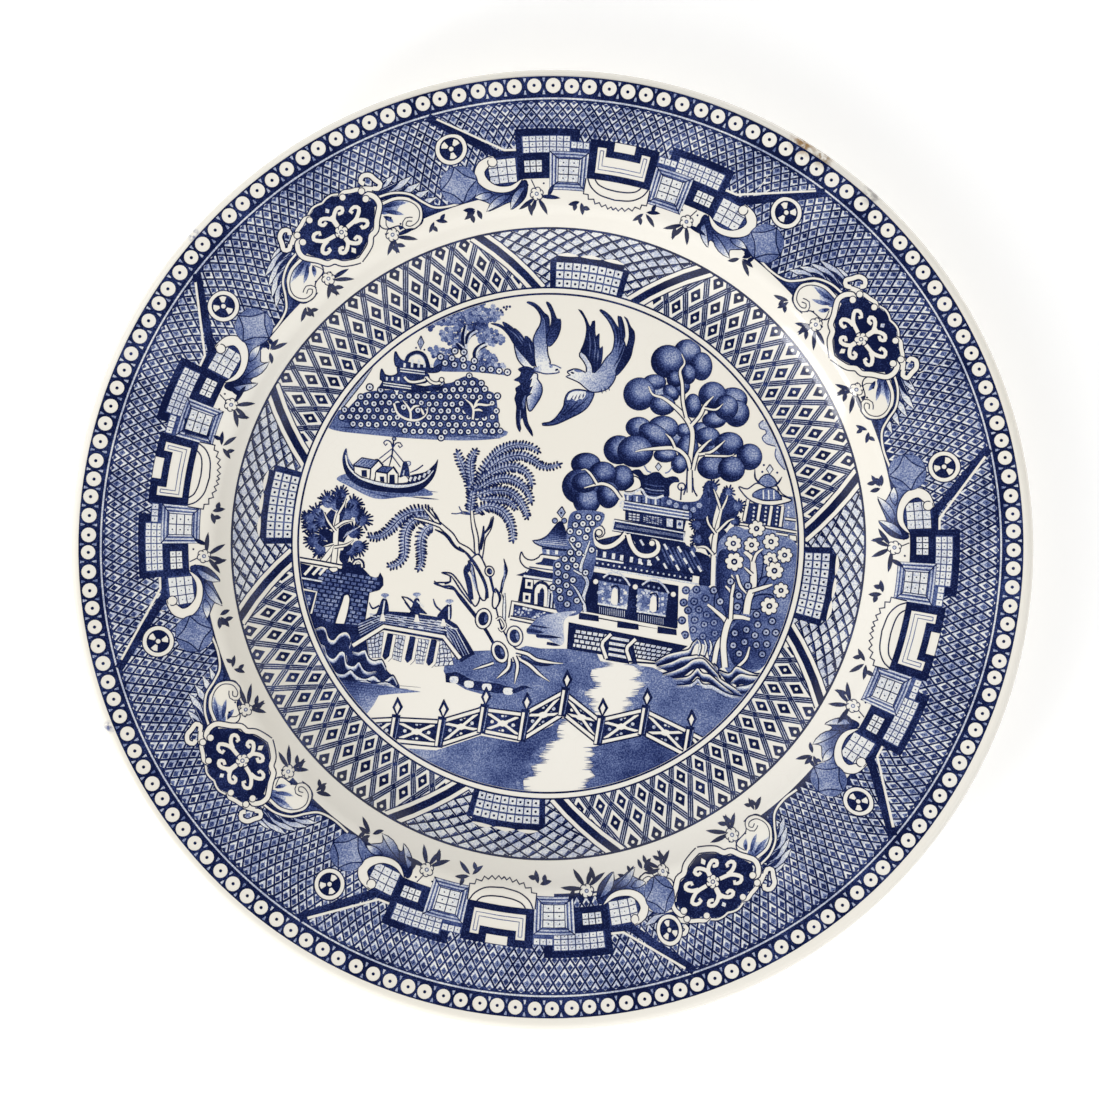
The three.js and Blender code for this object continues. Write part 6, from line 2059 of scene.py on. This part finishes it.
def print_piece(name, spots, cells, node):
    """A print piece from partition cells, lifted onto the glazed face."""
    used = sorted({corner for cell in cells for corner in cell[0]})
    place = {corner: k for k, corner in enumerate(used)}
    points, normals = [], []
    for corner in used:
        x, y = spots[corner]
        r = math.hypot(x, y)
        height, slope = surface_at(r)
        out = Vector((x / r, y / r, 0)) if r > 1e-6 else Vector((0, 0, 0))
        up = Vector((0, 0, math.cos(slope))) - out * math.sin(slope)
        points.append((Vector((x, y, height)) + up * PRINT_LIFT) * MM)
        normals.append(up)
    data = bpy.data.meshes.new(name)
    data.from_pydata(points, [], [[place[c] for c in cell[0]] for cell in cells])
    ink = data.attributes.new("ink", "FLOAT", "CORNER")
    tones = []
    for corners, tone, *_ in cells:
        tones += [tone(complex(*spots[c])) if callable(tone) else tone for c in corners]
    ink.data.foreach_set("value", tones)
    data.polygons.foreach_set("use_smooth", [True] * len(data.polygons))
    data.normals_split_custom_set_from_vertices(normals)
    piece = bpy.data.objects.new(name, data)
    bpy.context.scene.collection.objects.link(piece)
    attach(piece, "root")
    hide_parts(node)
    print(name, len(cells), "faces")
    return piece


def lay_print(pen, name, node, rings=(), shares=1):
    """Lay a drawing as named parts, or as shares of the circle."""
    spots, cells = partition(pen.shapes, rings)
    groups = {}
    for cell in cells:
        _, tone, middle, number = cell
        if callable(tone) or tone > BARE:
            if pen.parts:
                label = [part for first, part in pen.parts if first <= number][-1]
            else:
                turn = math.atan2(middle.y, middle.x) / (2 * math.pi) % 1
                label = f"{name}_{int(turn * shares) % shares + 1}"
            groups.setdefault(label, []).append(cell)
    return [print_piece(label, spots, group, node) for label, group in groups.items()]


# %% [markdown]
# ### Drawing and laying
# Each sheet is drawn with its own pen and its own seed, so that the same plate comes out every
# time. The rim and the well border come in equal shares of the circle, the garden in its motifs.

# %% Draw and lay the three prints
RIM_SEED, BORDER_SEED, SCENE_SEED = 4, 7, 9    # each sheet keeps its own small unevenness
RIM_SHARES, BORDER_SHARES = 8, 4
rim_pen, border_pen, scene_pen = Pen(), Pen(), Pen()
draw_rim(rim_pen, random.Random(RIM_SEED))
draw_well_border(border_pen, random.Random(BORDER_SEED))
draw_scene(scene_pen, random.Random(SCENE_SEED))
for pen in (border_pen, scene_pen):
    pen.shapes = moved(pen.shapes, laid_inside)
print("shapes drawn", len(rim_pen.shapes), len(border_pen.shapes), len(scene_pen.shapes))
shoulder_rings, hollow_rings = contour_rings(*SHOULDER_RINGS), contour_rings(*HOLLOW_RINGS)
prints = lay_print(rim_pen, "rim_print", "rim_border_print", shoulder_rings, RIM_SHARES)
prints += lay_print(border_pen, "well_print", "well_border_print", hollow_rings, BORDER_SHARES)
prints += lay_print(scene_pen, "scene_print", "centre_scene_print")


# %% [markdown]
# ## Glaze, ink and clay
# Three finishes meet on the plate. The glaze is clear and glossy over cream clay, a little
# uneven and finely crazed. The cobalt ink lies under that glaze, so it has the same gloss, but its
# colour pools and thins, and its pale washes are made of fine stipple. The bare clay of the foot
# is matt and grainy. The unevenness of the glaze is one shader group that both glossy materials
# share, so that crazing and ripples run on across the edges of the print.

# %% Glaze, ink and clay
def new_group(name, inputs, outputs):
    """A shader node group with named float inputs and typed outputs."""
    group = bpy.data.node_groups.new(name, "ShaderNodeTree")
    for label, default in inputs:
        socket = group.interface.new_socket(label, in_out="INPUT", socket_type="NodeSocketFloat")
        socket.default_value = default
    for label, kind in outputs:
        group.interface.new_socket(label, in_out="OUTPUT", socket_type=kind)
    return group, group.nodes.new("NodeGroupInput"), group.nodes.new("NodeGroupOutput")


def node(tree, kind, **values):
    """A node with its properties, and its inputs by name or number, set in one call."""
    made = tree.nodes.new(kind)
    for label, value in values.items():
        if label.startswith("in_"):
            key = label[3:]
            made.inputs[int(key) if key.isdigit() else key.replace("_", " ")].default_value = value
        else:
            setattr(made, label, value)
    return made


def noise(tree, vector, scale, detail=2.0, roughness=0.5):
    """Cloudy noise from 0 to 1."""
    made = node(tree, "ShaderNodeTexNoise", in_Scale=scale, in_Detail=detail, in_Roughness=roughness)
    tree.links.new(vector, made.inputs["Vector"])
    return made.outputs["Fac"]


def spread(tree, value, low, high, to_low=0.0, to_high=1.0):
    """Map a value from one range to another, clamped."""
    made = node(tree, "ShaderNodeMapRange", in_From_Min=low, in_From_Max=high, in_To_Min=to_low,
        in_To_Max=to_high)
    tree.links.new(value, made.inputs["Value"])
    return made.outputs["Result"]


def maths(tree, operation, a, b):
    """One sum of two values, each a link or a number."""
    made = node(tree, "ShaderNodeMath", operation=operation)
    for socket, value in zip(made.inputs, (a, b)):
        if isinstance(value, (int, float)):
            socket.default_value = value
        else:
            tree.links.new(value, socket)
    return made.outputs[0]


def mixed(tree, share, a, b):
    """Mix two colours, given as links or as (r, g, b)."""
    made = node(tree, "ShaderNodeMix", data_type="RGBA")
    for socket, value in ((made.inputs[0], share), (made.inputs[6], a), (made.inputs[7], b)):
        if isinstance(value, tuple):
            socket.default_value = (*value, 1)
        elif isinstance(value, (int, float)):
            socket.default_value = value
        else:
            tree.links.new(value, socket)
    return made.outputs[2]


def glaze_group():
    """Ripple and crazing of the glaze: a height for bump and a faint crack mask."""
    group, ins, outs = new_group("glaze surface", [("Craze Scale", 260.0)],
        [("Height", "NodeSocketFloat"), ("Crack", "NodeSocketFloat"), ("Wear", "NodeSocketFloat")])
    place = group.nodes.new("ShaderNodeTexCoord").outputs["Object"]
    wobble = node(group, "ShaderNodeVectorMath", operation="MULTIPLY_ADD")
    wobble.inputs[1].default_value = (0.003, 0.003, 0.003)
    warp = node(group, "ShaderNodeTexNoise", in_Scale=120.0, in_Detail=2.0)
    group.links.new(place, warp.inputs["Vector"])
    group.links.new(warp.outputs["Color"], wobble.inputs[0])
    group.links.new(place, wobble.inputs[2])
    cells = node(group, "ShaderNodeTexVoronoi", feature="DISTANCE_TO_EDGE")
    group.links.new(wobble.outputs[0], cells.inputs["Vector"])
    group.links.new(ins.outputs["Craze Scale"], cells.inputs["Scale"])
    patchy = spread(group, noise(group, place, 18.0), 0.45, 0.65)
    crack = maths(group, "MULTIPLY", spread(group, cells.outputs["Distance"], 0.0, 0.03, 1.0, 0.0),
        patchy)
    ripple = noise(group, place, 55.0, 3.0)
    height = maths(group, "ADD", ripple, maths(group, "MULTIPLY", crack, -0.008))
    group.links.new(height, outs.inputs["Height"])
    group.links.new(crack, outs.inputs["Crack"])
    group.links.new(spread(group, noise(group, place, 35.0, 6.0, 0.7), 0.5, 0.8), outs.inputs["Wear"])
    return group


GLAZE_SURFACE = glaze_group()


def new_material(name):
    """A fresh material with its node tree and its main shader."""
    material = bpy.data.materials.new(name)
    material.use_nodes = True
    tree = material.node_tree
    return material, tree, tree.nodes["Principled BSDF"]


def glossy(tree, shader):
    """Glaze gloss, the same on cream and on ink."""
    surface = tree.nodes.new("ShaderNodeGroup")
    surface.node_tree = GLAZE_SURFACE
    bump = node(tree, "ShaderNodeBump", in_Strength=0.12, in_Distance=0.0006)
    tree.links.new(surface.outputs["Height"], bump.inputs["Height"])
    tree.links.new(bump.outputs["Normal"], shader.inputs["Normal"])
    rough = maths(tree, "ADD", maths(tree, "MULTIPLY", surface.outputs["Wear"], 0.10), 0.10)
    tree.links.new(rough, shader.inputs["Roughness"])
    shader.inputs["IOR"].default_value = 1.5
    shader.inputs["Specular IOR Level"].default_value = 0.32
    return surface


def blemish(tree, place, tint, spot, reach, colour):
    """A worn spot that fades out from its middle, broken up by noise."""
    away = node(tree, "ShaderNodeVectorMath", operation="DISTANCE")
    tree.links.new(place, away.inputs[0])
    away.inputs[1].default_value = spot
    near = spread(tree, away.outputs["Value"], reach * 0.3, reach, 1.0, 0.0)
    broken = spread(tree, noise(tree, place, 600.0, 4.0), 0.38, 0.55)
    return mixed(tree, maths(tree, "MULTIPLY", near, broken), tint, colour)


def glaze_material():
    """Clear glaze on cream clay, with the worn spots of this plate."""
    material, tree, shader = new_material("cream glaze")
    surface = glossy(tree, shader)
    place = tree.nodes.new("ShaderNodeTexCoord").outputs["Object"]
    tint = mixed(tree, spread(tree, noise(tree, place, 9.0, 3.0), 0.35, 0.65), (0.84, 0.80, 0.71),
        (0.86, 0.83, 0.76))
    tint = mixed(tree, maths(tree, "MULTIPLY", surface.outputs["Crack"], 0.05), tint, (0.55, 0.45, 0.32))
    for spot, reach, colour in (((0.0655, 0.1082, 0.0228), 0.0045, (0.34, 0.20, 0.08)),
            ((0.0705, 0.1045, 0.0228), 0.0035, (0.30, 0.20, 0.10)),
            ((0.0835, 0.0945, 0.0228), 0.0035, (0.40, 0.38, 0.36)),
            ((-0.117, -0.045, 0.0228), 0.0020, (0.10, 0.12, 0.25)),
            ((-0.094, 0.084, 0.0228), 0.0020, (0.12, 0.14, 0.28))):
        tint = blemish(tree, place, tint, spot, reach, colour)
    tree.links.new(tint, shader.inputs["Base Color"])
    return material


def ink_material():
    """Cobalt under the glaze: tone 0 is a pale wash, tone 1 the full line."""
    material, tree, shader = new_material("cobalt print")
    surface = glossy(tree, shader)
    place = tree.nodes.new("ShaderNodeTexCoord").outputs["Object"]
    tone = node(tree, "ShaderNodeAttribute", attribute_name="ink").outputs["Fac"]
    fleck = spread(tree, noise(tree, place, 2600.0, 1.0), 0.3, 0.7, -0.16, 0.16)
    pool = spread(tree, noise(tree, place, 160.0, 3.0), 0.3, 0.7, -0.10, 0.10)
    drift = spread(tree, noise(tree, place, 45.0, 2.0), 0.3, 0.7, -0.07, 0.07)
    level = maths(tree, "ADD", maths(tree, "ADD", tone, fleck), maths(tree, "ADD", pool, drift))
    ramp = node(tree, "ShaderNodeValToRGB")
    stops = [(0.0, (0.80, 0.80, 0.77)), (0.25, (0.44, 0.48, 0.61)), (0.5, (0.135, 0.18, 0.36)),
        (0.75, (0.032, 0.05, 0.165)), (1.0, (0.005, 0.009, 0.045))]
    while len(ramp.color_ramp.elements) < len(stops):
        ramp.color_ramp.elements.new(0.5)
    for element, (position, colour) in zip(ramp.color_ramp.elements, stops):
        element.position = position
        element.color = (*colour, 1)
    tree.links.new(level, ramp.inputs["Fac"])
    tree.links.new(ramp.outputs["Color"], shader.inputs["Base Color"])
    return material


def clay_material():
    """Dry, grainy clay, where the foot ring was wiped clean."""
    material, tree, shader = new_material("bare clay")
    place = tree.nodes.new("ShaderNodeTexCoord").outputs["Object"]
    grain = noise(tree, place, 900.0, 4.0)
    tint = mixed(tree, grain, (0.70, 0.60, 0.46), (0.84, 0.77, 0.64))
    tree.links.new(tint, shader.inputs["Base Color"])
    bump = node(tree, "ShaderNodeBump", in_Strength=0.4, in_Distance=0.0003)
    tree.links.new(grain, bump.inputs["Height"])
    tree.links.new(bump.outputs["Normal"], shader.inputs["Normal"])
    shader.inputs["Roughness"].default_value = 0.85
    return material


cream_glaze, cobalt_print, bare_clay = glaze_material(), ink_material(), clay_material()
for piece in (glaze_coat, glaze_base):
    piece.data.materials.append(cream_glaze)
clay_body.data.materials.append(bare_clay)
for piece in prints:
    piece.data.materials.append(cobalt_print)


# %% [markdown]
# ## Floor, light and camera
# The plate lies face up and is seen from almost straight above, from a metre away, leaning a few
# degrees. A soft panel stands low on the lower left, which brightens the right side of the hollow
# and leaves a pale reflection at its upper right. A pale dome all round fills the rest: dimmer at
# the horizon, a little brighter on one side, and dark at its top, so that the glaze, which mirrors
# what is above it, does not veil the blue. The pale floor glows faintly, which keeps the plate's
# shadow on it soft.

# %% Stage
LIGHT_TARGET = Vector((0, 0, 0.01))
WINDOW_PLACE = (-0.95, -0.8, 0.6)
WINDOW_SIZE = 0.4
WINDOW_POWER = 7.2
FLOOR_GLOW = 0.25
# the dome's strength: from where to where it changes, and its value on either side
DOME_TOP = (0.7, 0.88, 1.18, 0.025)
DOME_SIDES = (-1.2, 1.2, 1.06, 0.86)
DOME_HORIZON = (0.05, 0.4, 0.45, 1.3)
CAMERA_AIM = Vector((-0.001, 0.0014, 0.0228))
CAMERA_LEAN = Vector((-0.033, 0.085, 1.05))
CAMERA_DISTANCE = 1.037


def area_light(name, location, size, power):
    """A square lamp that faces the plate."""
    data = bpy.data.lights.new(name, "AREA")
    data.size = size
    data.energy = power
    light = bpy.data.objects.new(name, data)
    light.location = location
    light.rotation_euler = (LIGHT_TARGET - Vector(location)).to_track_quat("-Z", "Y").to_euler()
    bpy.context.scene.collection.objects.link(light)


floor_mesh = bmesh.new()
bmesh.ops.create_grid(floor_mesh, x_segments=1, y_segments=1, size=3.0)
floor_data = bpy.data.meshes.new("floor")
floor_mesh.to_mesh(floor_data)
floor_mesh.free()
floor = bpy.data.objects.new("floor", floor_data)
bpy.context.scene.collection.objects.link(floor)
floor_material, floor_tree, floor_shader = new_material("pale floor")
floor_place = floor_tree.nodes.new("ShaderNodeTexCoord").outputs["Object"]
floor_tint = mixed(floor_tree, noise(floor_tree, floor_place, 3.0), (0.93, 0.93, 0.93),
    (0.96, 0.96, 0.96))
floor_tree.links.new(floor_tint, floor_shader.inputs["Base Color"])
floor_shader.inputs["Roughness"].default_value = 0.9
floor_shader.inputs["Emission Color"].default_value = (1, 1, 1, 1)
floor_shader.inputs["Emission Strength"].default_value = FLOOR_GLOW
floor_data.materials.append(floor_material)

area_light("window panel", WINDOW_PLACE, WINDOW_SIZE, WINDOW_POWER)
world = bpy.data.worlds.new("studio")
bpy.context.scene.world = world
world.use_nodes = True
sky = world.node_tree
heading = sky.nodes.new("ShaderNodeTexCoord").outputs["Generated"]
height = node(sky, "ShaderNodeSeparateXYZ")
sky.links.new(heading, height.inputs[0])
dome_top = spread(sky, height.outputs["Z"], *DOME_TOP)
dome_side = spread(sky, maths(sky, "ADD", height.outputs["X"], height.outputs["Y"]), *DOME_SIDES)
horizon = spread(sky, height.outputs["Z"], *DOME_HORIZON)
dome = maths(sky, "MULTIPLY", maths(sky, "MULTIPLY", dome_top, horizon), dome_side)
sky.links.new(dome, sky.nodes["Background"].inputs["Strength"])
sky.nodes["Background"].inputs["Color"].default_value = (1, 1, 1, 1)
bpy.context.scene.view_settings.view_transform = "Standard"

camera_data = bpy.data.cameras.new("camera")
camera_data.lens = 129.0
camera_data.sensor_width = 36
camera = bpy.data.objects.new("camera", camera_data)
camera.location = CAMERA_AIM + CAMERA_LEAN.normalized() * CAMERA_DISTANCE
backward = (camera.location - CAMERA_AIM).normalized()
right = Vector((0, 1, 0)).cross(backward).normalized()
upward = backward.cross(right)
camera.rotation_euler = Matrix((right, upward, backward)).transposed().to_euler()
bpy.context.scene.collection.objects.link(camera)
bpy.context.scene.camera = camera
